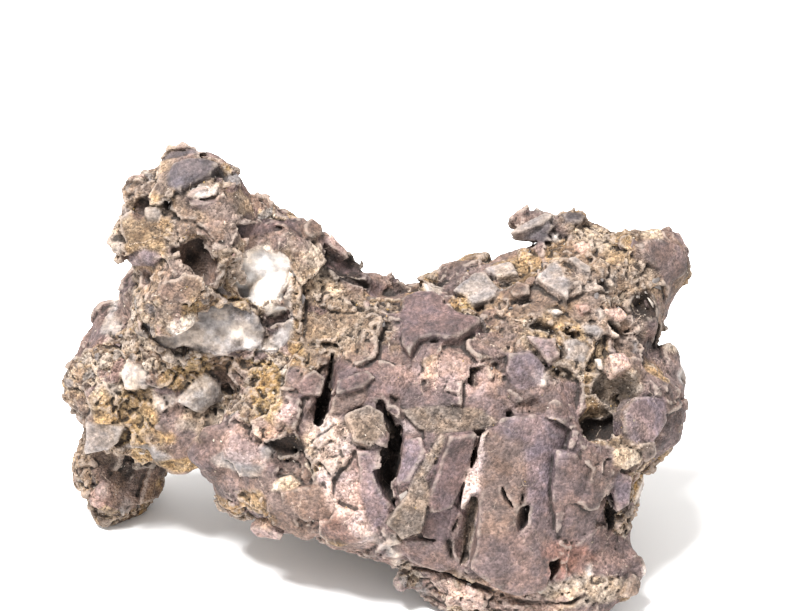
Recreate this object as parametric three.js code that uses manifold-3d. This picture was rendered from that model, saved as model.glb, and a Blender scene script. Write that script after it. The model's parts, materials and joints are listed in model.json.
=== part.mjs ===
// A rugged breccia stone: two horns with a saddle between them, an arch under the left end, and three
// worn feet. Millimetres, +Z up, the photographed face towards -Y, resting on the plane z = 0.
import * as THREE from 'three';
import { ConvexGeometry } from 'three/addons/geometries/ConvexGeometry.js';
import { ImprovedNoise } from 'three/addons/math/ImprovedNoise.js';
import { MeshSurfaceSampler } from 'three/addons/math/MeshSurfaceSampler.js';
import { mergeVertices } from 'three/addons/utils/BufferGeometryUtils.js';
import Module from 'manifold-3d';

const STONE_COLOUR = 0xa08c84;
const GRID = 7; // spacing of the net that the mass is skinned with
const REACH = { low: [-146, -76, -36], high: [122, 82, 168] }; // the net's box
const BLEND = 9; // how far one mass runs into the next
const HOLLOW_BLEND = 5; // how worn a hollow's rim is
const FILL = 1.5; // depth given to a pinched corner of the net
const FLOOR = { side: 400, depth: 100 }; // what is cut off below the feet

// Rolls of the skin: the length of a wave and its height.
const WAVES = [
  { length: 30, height: 4.4 },
  { length: 14, height: 2.6 },
];

// Broken faces: the size of a joint block, how far each is set in or out, how steeply it can lean, and
// the most that it leaves the skin.
const BLOCKS = { size: 19, height: 3.2, tilt: 0.85, most: 4.5 };

// The big masses that the stone is fused from: where each is, and its half-sizes.
const MASSES = [
  { at: [10, 2, 56], size: [60, 38, 34] }, // core
  { at: [46, -20, 40], size: [35, 29, 36] }, // front block
  { at: [71, -4, 60], size: [24, 28, 22] }, // right shoulder
  { at: [55, 14, 87], size: [38, 30, 20] }, // right plateau
  { at: [73, 18, 101], size: [20, 14, 9] }, // right end of the plateau
  { at: [91, 22, 99], size: [11, 12, 9] }, // right nub
  { at: [-66, 14, 90], size: [27, 26, 34] }, // left tower
  { at: [-71, 12, 121.5], size: [22.5, 17, 20] }, // left knob
  { at: [-82, 8, 115], size: [8, 10, 8] }, // left ear
  { at: [-42, 12, 105.5], size: [20, 18, 16] }, // shoulder of the tower
  { at: [-25, 12, 98.5], size: [16, 16, 13.5] }, // ridge down to the saddle
  { at: [-4, 6, 77.5], size: [44, 24, 15] }, // saddle
  { at: [-26, -8, 46], size: [40, 28, 31] }, // belly
  { at: [4, -28, 40], size: [34, 20, 24] }, // chin
  { at: [-84, 16, 58], size: [32, 24, 30] }, // left flank
  { at: [-102, 24, 16], size: [16, 15, 24] }, // left foot
  { at: [43, -38, 10], size: [36, 17, 20] }, // front foot
  { at: [24, 38, 14], size: [36, 20, 22] }, // back foot
  { at: [-22, 32, 50], size: [58, 24, 30] }, // back
];

// Hollows that are worn into the masses.
const HOLLOWS = [
  { at: [-72, 20, 6], size: [17, 80, 17] }, // arch under the left end
  { at: [100, 4, 84], size: [11, 20, 9] }, // waist under the right nub
  { at: [-46, -14, 108], size: [15, 13, 13] }, // round the bowl
  { at: [-60, -19, 87], size: [26, 11, 8] }, // long hollow
  { at: [71, -27, 75.5], size: [9, 10, 8] }, // soft dent in the right shoulder
];

// Flat angular pieces that stand out of the skin: half-length, half-width and half-thickness, the way
// that the flat side faces, and the lean of the length from level.
const SLABS = [
  { at: [-68, 4, 134.5], size: [11, 7, 4.5], facing: [-0.1, -0.75, 0.65], lean: 24 }, // cap stone
  { at: [-62, 0, 129], size: [5.5, 2.4, 3.6], facing: [0.1, -0.8, 0.6], lean: 14 }, // pale bar
  { at: [50, 26, 112.5], size: [13, 7, 3], facing: [-0.1, -0.25, 0.95], lean: 3 }, // overhanging plate
  { at: [60, 22, 108], size: [9, 6, 4], facing: [0.3, -0.5, 0.8], lean: -10 },
  { at: [14, -3, 89], size: [15, 10, 5.5], facing: [0.05, -0.55, 0.83], lean: -8 }, // mauve wedge
  { at: [26, 8, 95.5], size: [8.5, 5, 4], facing: [-0.15, -0.6, 0.8], lean: 10 }, // grey diamond
  { at: [-25, 13, 107], size: [7, 4, 5], facing: [0.4, -0.75, 0.5], lean: -38 }, // chip on the ridge
  { at: [-8, 14, 94.5], size: [13, 5, 2.4], facing: [0.1, -0.3, 0.95], lean: -6 }, // saddle flags
  { at: [7, 13, 93], size: [11, 5, 2], facing: [0, -0.3, 0.95], lean: 3 },
  { at: [39, -40, 44], size: [27, 9, 8], facing: [-0.05, -1, 0.12], lean: 87 }, // great smooth face
  { at: [56, -38, 41], size: [23, 9, 8], facing: [0.25, -0.95, 0.12], lean: 94 },
  { at: [10, -38, 44], size: [22, 7, 7], facing: [-0.2, -0.95, 0.2], lean: 80 }, // column by the vein
  { at: [-12, -33, 52], size: [20, 9, 8], facing: [-0.35, -0.9, 0.3], lean: 74 },
  { at: [-16, -20, 76], size: [9, 6, 6], facing: [-0.3, -0.75, 0.6], lean: 20 },
  { at: [-34, -21, 68], size: [12, 8, 6], facing: [0.1, -0.8, 0.6], lean: 80 },
  { at: [82, -18, 64], size: [9, 8, 6], facing: [0.6, -0.75, 0.3], lean: 65 }, // right shoulder
  { at: [75, -39, 15], size: [9, 6, 6], facing: [0.4, -0.9, 0.2], lean: 60 },
  { at: [-35, -34, 34], size: [13, 7, 6], facing: [-0.25, -0.95, -0.1], lean: -22 },
  { at: [-79, -4, 66], size: [6.5, 4.5, 3.6], facing: [0, -0.95, 0.25], lean: -20 }, // pale slabs
  { at: [-65, -3, 61], size: [8, 4.5, 3.6], facing: [0.1, -0.9, 0.35], lean: 22 },
  { at: [44, -22, 75], size: [12, 8, 6], facing: [0, -0.75, 0.65], lean: 15 },
  { at: [90, 20, 100], size: [9, 7, 7], facing: [0.5, -0.7, 0.4], lean: -15 }, // nub
];

// Pits with a crisp rim: half-sizes, the second one being half the depth.
const PITS = [
  { at: [-45, -5, 106.5], size: [12.5, 10, 10.5] }, // bowl
  { at: [-66, -10, 115.5], size: [5, 9, 6.5] }, // cave
  { at: [-84, -1, 128], size: [3, 5, 3.4] },
  { at: [-84, -6, 106.5], size: [3, 5, 3.2] },
  { at: [65, -31, 65], size: [8.5, 9, 4.4] }, // cavity over the smooth face
  { at: [-60, -9, 87], size: [22, 7, 7] }, // floor of the long hollow
];

// Open cracks: points along each, with its half-width there.
const CLEFTS = [
  {
    depth: 17,
    path: [
      [-3.5, -31, 73, 0.8],
      [-1, -35, 65, 2.6],
      [-1.5, -40, 57, 2.8],
      [-3, -44, 49, 1.7],
      [-1, -46, 40, 0.6],
    ],
  },
  { depth: 12, path: [[-22, -17, 83, 1], [-24, -24, 74, 1.7], [-28, -31, 66, 2.8]] },
  { depth: 9, path: [[26, -36, 66, 0.7], [22.5, -43, 54.5, 1.2], [20, -47, 43, 1]] },
  { depth: 7, path: [[23.5, -46, 45, 1.8], [21.5, -49, 34, 2], [19.5, -50, 25, 1.8]] },
  { depth: 8, path: [[35, -49, 52, 0.6], [38, -50, 43, 1.6], [39, -51, 37, 0.5]] },
  { depth: 9, path: [[70, -38, 49, 1.1], [69, -42, 42, 1.3], [68, -43, 34, 1.5]] },
  { depth: 7, path: [[24, -26, 83, 1.2], [24, -28, 78, 1.3]] },
];

// Loose-looking fragments over the whole skin: half-lengths, and the share of their thickness that is sunk.
const FRAGMENTS = { count: 32, least: 4, most: 7.5, sunk: 0.45, corners: 4, askew: 0.6 };

// The broken outline of a slab: its corners, how they wander, and how much smaller the top is.
const OUTLINE = { corners: 7, wander: 0.7, least: 0.85, spread: 0.3, squareness: 0.6, top: [0.8, 0.76] };

const PIT = { smallest: 8, bumps: 1.9, unevenness: 0.22 }; // a pit under the smallest size has coarse facets
const CLEFT = { facing: [0, -0.92, 0.39], mouth: 6, flare: 1.4 }; // cracks open towards the front

// Odd numbers that give each lattice cell and each slab its own draw.
const CELL_SEEDS = [7919, 104729, 1299709];
const CELL_SHIFT = 50;
const SLAB_SEEDS = [31, 17, 7];
const SLAB_SHIFT = 500;
const FRAGMENT_SEED = 77;
const NOISE_SHIFT = [7.3, 2.1, 5.7];

// The corners of a cell of the net, its edges, and the four corners round each of its sides.
const ALL_CORNERS = [0, 1, 2, 3, 4, 5, 6, 7];
const CORNERS = ALL_CORNERS.map((n) => [n & 1, (n >> 1) & 1, n >> 2]);
const CELL_EDGES = CORNERS.flatMap((a) =>
  CORNERS.filter((b) => stepsApart(a, b) === 1 && b.every((v, axis) => v >= a[axis])).map((b) => [a, b]));
const CELL_SIDES = [0, 1, 2].flatMap((axis) => {
  const [u, v] = [1 << ((axis + 1) % 3), 1 << ((axis + 2) % 3)];
  return [0, 1 << axis].map((base) => [base, base + u, base + u + v, base + v]);
});

const wasm = await Module();
wasm.setup();
const noise = new ImprovedNoise();
const random = THREE.MathUtils.seededRandom;

// How many edges of a cell lie between two of its corners.
function stepsApart(a, b) {
  return a.reduce((sum, v, axis) => sum + Math.abs(v - b[axis]), 0);
}

// Signed distance from an ellipsoid's skin, near enough for blending: below 0 inside.
function ellipsoid(point, { at, size }) {
  const x = point.x - at[0];
  const y = point.y - at[1];
  const z = point.z - at[2];
  const near = Math.hypot(x / size[0], y / size[1], z / size[2]);
  const steep = Math.hypot(x / size[0] ** 2, y / size[1] ** 2, z / size[2] ** 2);
  return steep < 1e-9 ? -Math.min(...size) : (near * (near - 1)) / steep;
}

// The lesser of two distances, with the corner between them filled.
function blend(a, b, reach) {
  const overlap = Math.max(reach - Math.abs(a - b), 0) / reach;
  return Math.min(a, b) - (overlap * overlap * reach) / 4;
}

// How far a joint block stands proud of the skin: one value for each cell of a jittered lattice.
function blockHeight(point) {
  const cell = [point.x, point.y, point.z].map((v) => Math.floor(v / BLOCKS.size));
  let nearest = Infinity;
  let height = 0;
  for (let i = -1; i <= 1; i++) {
    for (let j = -1; j <= 1; j++) {
      for (let k = -1; k <= 1; k++) {
        const near = [cell[0] + i, cell[1] + j, cell[2] + k];
        random(near.reduce((sum, v, axis) => sum + (v + CELL_SHIFT) * CELL_SEEDS[axis], 0));
        const away = [
          point.x - (near[0] + random()) * BLOCKS.size,
          point.y - (near[1] + random()) * BLOCKS.size,
          point.z - (near[2] + random()) * BLOCKS.size,
        ];
        const gap = Math.hypot(...away);
        const proud = (random() - 0.5) * BLOCKS.height;
        const lean = away.reduce((sum, v) => sum + v * (random() - 0.5), 0) * BLOCKS.tilt;
        if (gap < nearest) {
          nearest = gap;
          height = THREE.MathUtils.clamp(proud + lean, -BLOCKS.most, BLOCKS.most);
        }
      }
    }
  }
  return height;
}

// Signed distance from the rough stone, below 0 inside.
function stoneField(point) {
  let distance = Infinity;
  for (const mass of MASSES) distance = blend(distance, ellipsoid(point, mass), BLEND);
  for (const hollow of HOLLOWS) distance = -blend(-distance, ellipsoid(point, hollow), HOLLOW_BLEND);
  if (Math.abs(distance) > 3 * GRID) return distance;
  for (const { length, height } of WAVES) {
    const [x, y, z] = point.toArray().map((v, axis) => v / length + NOISE_SHIFT[axis]);
    distance -= height * noise.noise(x, y, z);
  }
  return distance - blockHeight(point);
}

function solid(geometry) {
  const bare = geometry.clone();
  bare.deleteAttribute('normal');
  bare.deleteAttribute('uv');
  const merged = mergeVertices(bare, 1e-3);
  return new wasm.Manifold(
    new wasm.Mesh({
      numProp: 3,
      vertProperties: new Float32Array(merged.attributes.position.array),
      triVerts: new Uint32Array(merged.index.array),
    }),
  );
}

// Skins a field with a net of quads: one vertex in each cell that the surface crosses.
function netGeometry(field, { low, high }, step) {
  const count = low.map((v, axis) => Math.ceil((high[axis] - v) / step) + 1);
  const stride = [1, count[0], count[0] * count[1]];
  const at = (i, j, k) => i + j * stride[1] + k * stride[2];
  const value = new Float32Array(count[0] * count[1] * count[2]);
  const point = new THREE.Vector3();
  for (let k = 0; k < count[2]; k++) {
    for (let j = 0; j < count[1]; j++) {
      for (let i = 0; i < count[0]; i++) {
        value[at(i, j, k)] = field(point.set(low[0] + i * step, low[1] + j * step, low[2] + k * step));
      }
    }
  }
  fillPinches(value, count, at);

  const vertex = new Map();
  const positions = [];
  const corner = new THREE.Vector3();
  for (let k = 0; k < count[2] - 1; k++) {
    for (let j = 0; j < count[1] - 1; j++) {
      for (let i = 0; i < count[0] - 1; i++) {
        const sum = new THREE.Vector3();
        let crossings = 0;
        for (const [a, b] of CELL_EDGES) {
          const va = value[at(i + a[0], j + a[1], k + a[2])];
          const vb = value[at(i + b[0], j + b[1], k + b[2])];
          if (va < 0 === vb < 0) continue;
          const t = va / (va - vb);
          sum.add(corner.set(a[0] + t * (b[0] - a[0]), a[1] + t * (b[1] - a[1]), a[2] + t * (b[2] - a[2])));
          crossings++;
        }
        if (!crossings) continue;
        sum.divideScalar(crossings).add(corner.set(i, j, k)).multiplyScalar(step);
        vertex.set(at(i, j, k), positions.length / 3);
        positions.push(low[0] + sum.x, low[1] + sum.y, low[2] + sum.z);
      }
    }
  }

  const faces = [];
  for (let k = 1; k < count[2] - 1; k++) {
    for (let j = 1; j < count[1] - 1; j++) {
      for (let i = 1; i < count[0] - 1; i++) {
        const here = at(i, j, k);
        for (let axis = 0; axis < 3; axis++) {
          const inside = value[here] < 0;
          if (inside === value[here + stride[axis]] < 0) continue;
          const u = stride[(axis + 1) % 3];
          const v = stride[(axis + 2) % 3];
          const ring = [here, here - u, here - u - v, here - v].map((cell) => vertex.get(cell));
          if (!inside) ring.reverse();
          const corners = ring.map((n) => corner.clone().fromArray(positions, 3 * n));
          if (corners[0].distanceTo(corners[2]) > corners[1].distanceTo(corners[3])) ring.push(ring.shift());
          faces.push(ring[0], ring[1], ring[2], ring[0], ring[2], ring[3]);
        }
      }
    }
  }
  const geometry = new THREE.BufferGeometry();
  geometry.setAttribute('position', new THREE.Float32BufferAttribute(positions, 3));
  geometry.setIndex(faces);
  return geometry;
}

// Whether the members of a cell's corners hang together along its edges.
function linked(members) {
  const seen = new Set([members[0]]);
  for (const from of seen) {
    for (const to of members) {
      if (stepsApart(CORNERS[from], CORNERS[to]) === 1) seen.add(to);
    }
  }
  return seen.size === members.length;
}

// Fills the cells where two sheets of the surface would touch in a point or an edge.
function fillPinches(value, count, at) {
  for (let found = true; found; ) {
    found = false;
    for (let k = 0; k < count[2] - 1; k++) {
      for (let j = 0; j < count[1] - 1; j++) {
        for (let i = 0; i < count[0] - 1; i++) {
          const cell = CORNERS.map(([a, b, c]) => at(i + a, j + b, k + c));
          const isIn = cell.map((n) => value[n] < 0);
          const inside = ALL_CORNERS.filter((n) => isIn[n]);
          const outside = ALL_CORNERS.filter((n) => !isIn[n]);
          if (!inside.length || !outside.length) continue;
          const crossed = CELL_SIDES.some(([a, b, c, d]) => isIn[a] === isIn[c] && isIn[b] === isIn[d]
            && isIn[a] !== isIn[b]);
          if (!crossed && linked(inside) && linked(outside)) continue;
          const nearest = outside.reduce((a, b) => (value[cell[a]] < value[cell[b]] ? a : b));
          value[cell[nearest]] = -FILL;
          found = true;
        }
      }
    }
  }
}

// A turn that brings +Z to face one way, with +X leaning from level by some degrees.
function turnTo(facing, lean) {
  const out = new THREE.Vector3(...facing).normalize();
  const level = new THREE.Vector3(0, 0, 1).cross(out).normalize();
  const along = level.applyAxisAngle(out, THREE.MathUtils.degToRad(lean));
  return new THREE.Matrix4().makeBasis(along, out.clone().cross(along), out);
}

// Pushes a point of a circle out towards the corner of a square.
function square(v) {
  return Math.sign(v) * Math.abs(v) ** OUTLINE.squareness;
}

// A flat broken piece with a jagged outline and a smaller top, in its own frame.
function slabGeometry([length, width, thickness], corners = OUTLINE.corners) {
  const points = [];
  for (let i = 0; i < corners; i++) {
    const angle = ((i + OUTLINE.wander * random()) / corners) * 2 * Math.PI;
    const reach = OUTLINE.least + OUTLINE.spread * random();
    const x = length * reach * square(Math.cos(angle));
    const y = width * reach * square(Math.sin(angle));
    const top = thickness * (OUTLINE.least + OUTLINE.spread * random());
    points.push(new THREE.Vector3(x, y, -thickness));
    points.push(new THREE.Vector3(OUTLINE.top[0] * x, OUTLINE.top[1] * y, top));
  }
  return new ConvexGeometry(points);
}

function slab({ at, size, facing, lean }) {
  random(Math.round(at.reduce((sum, v, axis) => sum + v * SLAB_SEEDS[axis], SLAB_SHIFT)));
  return solid(slabGeometry(size).applyMatrix4(turnTo(facing, lean).setPosition(...at)));
}

function pit({ at, size }) {
  const geometry = new THREE.IcosahedronGeometry(1, Math.max(...size) > PIT.smallest ? 2 : 1);
  const position = geometry.attributes.position;
  const point = new THREE.Vector3();
  for (let i = 0; i < position.count; i++) {
    point.fromBufferAttribute(position, i);
    const [x, y, z] = point.toArray().map((v) => v * PIT.bumps);
    const reach = 1 + PIT.unevenness * noise.noise(x + at[0], y + at[1], z);
    position.setXYZ(i, ...point.multiplyScalar(reach).toArray());
  }
  return solid(geometry.scale(...size).translate(...at));
}

// A crack that narrows to nothing at its bottom.
function cleft({ depth, path }) {
  const out = new THREE.Vector3(...CLEFT.facing);
  const sections = path.map(([x, y, z, half], i) => {
    const before = path[Math.max(i - 1, 0)];
    const after = path[Math.min(i + 1, path.length - 1)];
    const along = new THREE.Vector3(after[0] - before[0], after[1] - before[1], after[2] - before[2]);
    const side = along.cross(out).setLength(half);
    const here = new THREE.Vector3(x, y, z);
    const mouth = here.clone().addScaledVector(out, CLEFT.mouth);
    return [
      mouth.clone().addScaledVector(side, CLEFT.flare),
      mouth.clone().addScaledVector(side, -CLEFT.flare),
      here.clone().addScaledVector(side, 1),
      here.clone().addScaledVector(side, -1),
      here.clone().addScaledVector(out, -depth),
    ];
  });
  return sections.slice(1).map((section, i) => solid(new ConvexGeometry([...sections[i], ...section])));
}

// Small angular fragments held in the skin, spread evenly over it.
function fragments(skin) {
  random(FRAGMENT_SEED);
  const sampler = new MeshSurfaceSampler(new THREE.Mesh(skin)).setRandomGenerator(() => random()).build();
  const at = new THREE.Vector3();
  const normal = new THREE.Vector3();
  return Array.from({ length: FRAGMENTS.count }, () => {
    sampler.sample(at, normal);
    const size = THREE.MathUtils.lerp(FRAGMENTS.least, FRAGMENTS.most, random());
    const half = [size, size * (0.5 + 0.4 * random()), size * (0.4 + 0.3 * random())];
    const askew = new THREE.Vector3(random(), random(), random()).multiplyScalar(FRAGMENTS.askew);
    const turn = turnTo(normal.clone().add(askew).toArray(), 180 * random());
    at.addScaledVector(normal, -FRAGMENTS.sunk * half[2]);
    return solid(slabGeometry(half, FRAGMENTS.corners).applyMatrix4(turn.setPosition(at)));
  });
}

function geometryOf(body) {
  const { vertProperties, triVerts } = body.getMesh();
  const geometry = new THREE.BufferGeometry();
  geometry.setAttribute('position', new THREE.BufferAttribute(vertProperties, 3));
  geometry.setIndex(new THREE.BufferAttribute(triVerts, 1));
  geometry.computeVertexNormals();
  return geometry;
}

let stone = solid(netGeometry(stoneField, REACH, GRID));
for (const piece of fragments(geometryOf(stone))) stone = stone.add(piece);
for (const piece of SLABS) stone = stone.add(slab(piece));
for (const hole of PITS) stone = stone.subtract(pit(hole));
for (const cut of CLEFTS.flatMap(cleft)) stone = stone.subtract(cut);
const ground = new THREE.BoxGeometry(FLOOR.side, FLOOR.side, FLOOR.depth).translate(0, 0, -FLOOR.depth / 2);
stone = stone.subtract(solid(ground));

// The origin is the middle of the base.
const geometry = geometryOf(stone);
geometry.computeBoundingBox();
const middle = geometry.boundingBox.getCenter(new THREE.Vector3());
geometry.translate(-middle.x, -middle.y, 0);

const mesh = new THREE.Mesh(
  geometry,
  new THREE.MeshStandardMaterial({ color: STONE_COLOUR, roughness: 0.92, metalness: 0, flatShading: true }),
);
mesh.name = 'stone';

const part = new THREE.Group();
part.add(mesh);

export default part;
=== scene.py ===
"""A dressed ibigawa stone: a breccia of mauve and grey fragments in a sandy matrix.

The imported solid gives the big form. Here it becomes a fine volume, is broken along cells that the finish
colours too, gets its fragments, hollows and cracks, and is strewn with chips and grains. Sizes are in
millimetres, in the frame's own axes, and become metres only where a mesh is written. A place may be a pixel
of the photograph: it stands for the skin that the photograph shows there.
"""
import json
import logging
import math
from dataclasses import dataclass
from enum import Enum

import bmesh
import bpy
import numpy as np
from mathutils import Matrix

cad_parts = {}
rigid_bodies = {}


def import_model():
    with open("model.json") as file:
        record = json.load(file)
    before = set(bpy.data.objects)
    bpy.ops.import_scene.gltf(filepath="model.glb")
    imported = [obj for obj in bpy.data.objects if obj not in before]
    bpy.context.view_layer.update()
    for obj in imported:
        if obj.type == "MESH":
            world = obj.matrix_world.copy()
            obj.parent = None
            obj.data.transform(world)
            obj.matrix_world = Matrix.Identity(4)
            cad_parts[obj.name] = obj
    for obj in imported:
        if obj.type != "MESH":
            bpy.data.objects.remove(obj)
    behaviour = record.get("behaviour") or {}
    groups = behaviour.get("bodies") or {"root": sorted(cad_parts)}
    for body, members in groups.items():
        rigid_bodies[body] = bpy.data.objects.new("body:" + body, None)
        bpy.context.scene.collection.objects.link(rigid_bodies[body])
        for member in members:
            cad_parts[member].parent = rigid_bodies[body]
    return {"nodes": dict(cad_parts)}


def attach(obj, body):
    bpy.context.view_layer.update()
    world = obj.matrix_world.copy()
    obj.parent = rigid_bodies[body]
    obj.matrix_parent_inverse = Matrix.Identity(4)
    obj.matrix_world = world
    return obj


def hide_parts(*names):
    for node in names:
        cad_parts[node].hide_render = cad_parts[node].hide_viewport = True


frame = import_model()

import openvdb
from mathutils import Vector
from mathutils.bvhtree import BVHTree

log = logging.getLogger("stone")

MM = 0.001
NODE = "stone"
SPECULAR = 0.35
Array = np.ndarray
Colour = tuple[float, float, float, float]
Pixel = tuple[float, float]
Socket = bpy.types.NodeSocket


def srgb(red: float, green: float, blue: float) -> Colour:
    """Turns a colour as a picture shows it, 0 to 255, into a shader's linear one.

    Args:
        red: Red, 0 to 255.
        green: Green, 0 to 255.
        blue: Blue, 0 to 255.

    Returns:
        The linear colour with an alpha of 1.
    """
    parts = [v / 255 for v in (red, green, blue)]
    linear = [v / 12.92 if v <= 0.04045 else ((v + 0.055) / 1.055) ** 2.4 for v in parts]
    return (*linear, 1.0)


@dataclass(frozen=True)
class Look:
    """A kind of rock: its dark and its pale colour, how smooth it is and how large it breaks."""

    dark: Colour
    pale: Colour
    calm: float = 0.3
    coarse: float = 0.4


class Rock(Enum):
    """The kinds of rock in the breccia, and SHADOW, a painted shadow colour for recesses, pits and hollows.
    """

    MAUVE = Look(srgb(62, 51, 50), srgb(100, 84, 82), 0.5, 1.0)
    LILAC = Look(srgb(66, 57, 62), srgb(106, 93, 98), 0.5, 1.0)
    PLUM = Look(srgb(54, 43, 44), srgb(86, 70, 71), 0.55, 1.0)
    BROWN = Look(srgb(70, 57, 51), srgb(104, 87, 79), 0.45, 0.8)
    SLATE = Look(srgb(42, 38, 40), srgb(74, 67, 71), 0.6, 0.8)
    GREY = Look(srgb(82, 78, 77), srgb(124, 118, 116), 0.7, 0.6)
    QUARTZ = Look(srgb(108, 102, 98), srgb(176, 168, 161), 0.9, 0.0)
    WHITE = Look(srgb(146, 138, 130), srgb(198, 189, 181), 0.8, 0.0)
    MILKY = Look(srgb(158, 152, 146), srgb(228, 223, 216), 0.97, 0.0)
    VEIN = Look(srgb(126, 112, 110), srgb(178, 164, 162), 0.2, 0.0)
    CREAM = Look(srgb(122, 110, 96), srgb(178, 163, 145), 0.2, 0.0)
    PINK = Look(srgb(118, 98, 94), srgb(164, 142, 136), 0.3, 0.3)
    RED = Look(srgb(92, 66, 59), srgb(132, 99, 90), 0.45, 0.6)
    OCHRE = Look(srgb(92, 75, 52), srgb(150, 126, 88), 0.0, 0.0)
    TAN = Look(srgb(80, 68, 59), srgb(128, 113, 98), 0.1, 0.1)
    GRANULAR = Look(srgb(68, 60, 53), srgb(114, 104, 95), 0.1, 0.0)
    # SHADOW is no rock: it is painted shadow, laid where shade falls in recesses, pits and hollows.
    SHADOW = Look(srgb(24, 18, 15), srgb(46, 36, 30), 0.2, 0.2)


@dataclass(frozen=True)
class PhotoCamera:
    """The camera at the photograph's place. Its frame is width by height pixels."""

    width: float = 800.0
    height: float = 611.0
    lens: float = 90.0
    sensor: float = 36.0
    elevation: float = 25.0
    distance: float = 667.0
    target: tuple[float, float, float] = (9.33, -1.4, 93.6)

    def forward(self) -> Vector:
        """Returns the way that the camera looks."""
        angle = math.radians(self.elevation)
        return Vector((0.0, math.cos(angle), -math.sin(angle)))

    def place(self) -> Vector:
        """Returns where the camera stands, in millimetres."""
        return Vector(self.target) - self.forward() * self.distance

    def ray(self, pixel: Pixel) -> Vector:
        """Works out the way from the camera through a pixel.

        Args:
            pixel: Pixels from the left and from the top.

        Returns:
            A unit vector.
        """
        focal = self.lens / self.sensor * self.width
        ahead = self.forward()
        right = Vector((1, 0, 0))
        across = (pixel[0] - (self.width - 1) / 2) / focal
        rise = ((self.height - 1) / 2 - pixel[1]) / focal
        return (ahead + right * across + right.cross(ahead) * rise).normalized()

    def build(self) -> None:
        """Makes the scene's camera."""
        data = bpy.data.cameras.new("camera")
        data.lens = self.lens
        data.sensor_width = self.sensor
        data.clip_start = 0.02
        camera = bpy.data.objects.new("camera", data)
        bpy.context.scene.collection.objects.link(camera)
        camera.location = self.place() * MM
        camera.rotation_mode = "QUATERNION"
        camera.rotation_quaternion = self.forward().to_track_quat("-Z", "Y")
        bpy.context.scene.camera = camera


class Ground:
    """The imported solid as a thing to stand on: it answers where a pixel's ray meets it."""

    def __init__(self, solid: bpy.types.Object, camera: PhotoCamera) -> None:
        """Keeps the solid's merged points and triangles.

        Args:
            solid: The frame's node.
            camera: The photograph's camera.
        """
        mesh = solid.data
        mesh.calc_loop_triangles()
        points = read(mesh.vertices, "co", 3) / MM
        corners = read(mesh.loop_triangles, "vertices", 3, np.int32)
        self.points, back = np.unique(np.round(points, 4), axis=0, return_inverse=True)
        self.triangles = back.ravel()[corners]
        self.tree = BVHTree.FromPolygons(self.points.tolist(), self.triangles.tolist())
        self.camera = camera

    def under(self, pixel: Pixel) -> tuple[Array, Array]:
        """Finds the skin that a pixel shows.

        Args:
            pixel: Its place in the photograph's frame.

        Returns:
            The point on the skin in millimetres, and the skin's normal there.
        """
        start = self.camera.place()
        ray = self.camera.ray(pixel)
        spot, normal, _, _ = self.tree.ray_cast(start, ray)
        if spot is None:
            spot, normal, _, _ = self.tree.find_nearest(start + ray * self.camera.distance)
        return np.array(spot), np.array(normal)


def read(collection: object, name: str, width: int, kind: type = np.float32) -> Array:
    """Reads one property of a mesh's elements.

    Args:
        collection: The elements.
        name: The property.
        width: Numbers for each element.
        kind: The number type.

    Returns:
        An array with a row for each element, or a flat one when the width is 1.
    """
    values = np.empty(len(collection) * width, kind)
    collection.foreach_get(name, values)
    return values.reshape(-1, width) if width > 1 else values


def store(mesh: bpy.types.Mesh, name: str, values: Array) -> None:
    """Writes a number, a vector or a colour for each vertex as an attribute of a mesh.

    Args:
        mesh: The mesh.
        name: The attribute's name.
        values: A row for each vertex.
    """
    width = values.shape[1] if values.ndim > 1 else 1
    kind, field = {1: ("FLOAT", "value"), 3: ("FLOAT_VECTOR", "vector"), 4: ("FLOAT_COLOR", "color")}[width]
    layer = mesh.attributes.get(name) or mesh.attributes.new(name, kind, "POINT")
    layer.data.foreach_set(field, np.ascontiguousarray(values, np.float32).ravel())


def new_object(name: str, points: Array, faces: Array) -> bpy.types.Object:
    """Makes a mesh object at the origin.

    Args:
        name: The object's name.
        points: Places in millimetres.
        faces: Vertex indices of each face.

    Returns:
        The linked object.
    """
    mesh = bpy.data.meshes.new(name)
    mesh.from_pydata((np.asarray(points) * MM).tolist(), [], np.asarray(faces).tolist())
    piece = bpy.data.objects.new(name, mesh)
    bpy.context.scene.collection.objects.link(piece)
    return piece


def evaluated_mesh(piece: bpy.types.Object) -> bpy.types.Mesh:
    """Applies a piece's modifiers to a copy of its mesh.

    Args:
        piece: The piece, which stays as it is.

    Returns:
        The plain mesh.
    """
    bpy.context.view_layer.update()
    graph = bpy.context.evaluated_depsgraph_get()
    return bpy.data.meshes.new_from_object(piece.evaluated_get(graph), depsgraph=graph)


def settle(piece: bpy.types.Object) -> None:
    """Replaces a piece's mesh by its evaluated one and removes its modifiers.

    Args:
        piece: The piece.
    """
    old = piece.data
    mesh = evaluated_mesh(piece)
    piece.modifiers.clear()
    piece.data = mesh
    bpy.data.meshes.remove(old)


class LatticeNoise:
    """Smooth noise over space, from a wrapped lattice of random values."""

    SIDE = 32
    OFFSET = 7.31

    def __init__(self, seed: int) -> None:
        """Draws the lattice from a fixed seed."""
        self.table = np.random.default_rng(seed).random((self.SIDE,) * 3).astype(np.float32)

    def at(self, points: Array, size: float) -> Array:
        """Samples the noise.

        Args:
            points: Places in millimetres, in the last axis.
            size: The lattice spacing in millimetres.

        Returns:
            Values from 0 to 1.
        """
        scaled = points / size + self.OFFSET
        low = np.floor(scaled).astype(np.int32)
        part = (scaled - low).astype(np.float32)
        part = part * part * (3 - 2 * part)
        total = np.zeros(points.shape[:-1], np.float32)
        for corner in np.ndindex(2, 2, 2):
            index = (low + corner) % self.SIDE
            share = np.prod(np.where(corner, part, 1 - part), axis=-1)
            total += share * self.table[index[..., 0], index[..., 1], index[..., 2]]
        return total


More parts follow.
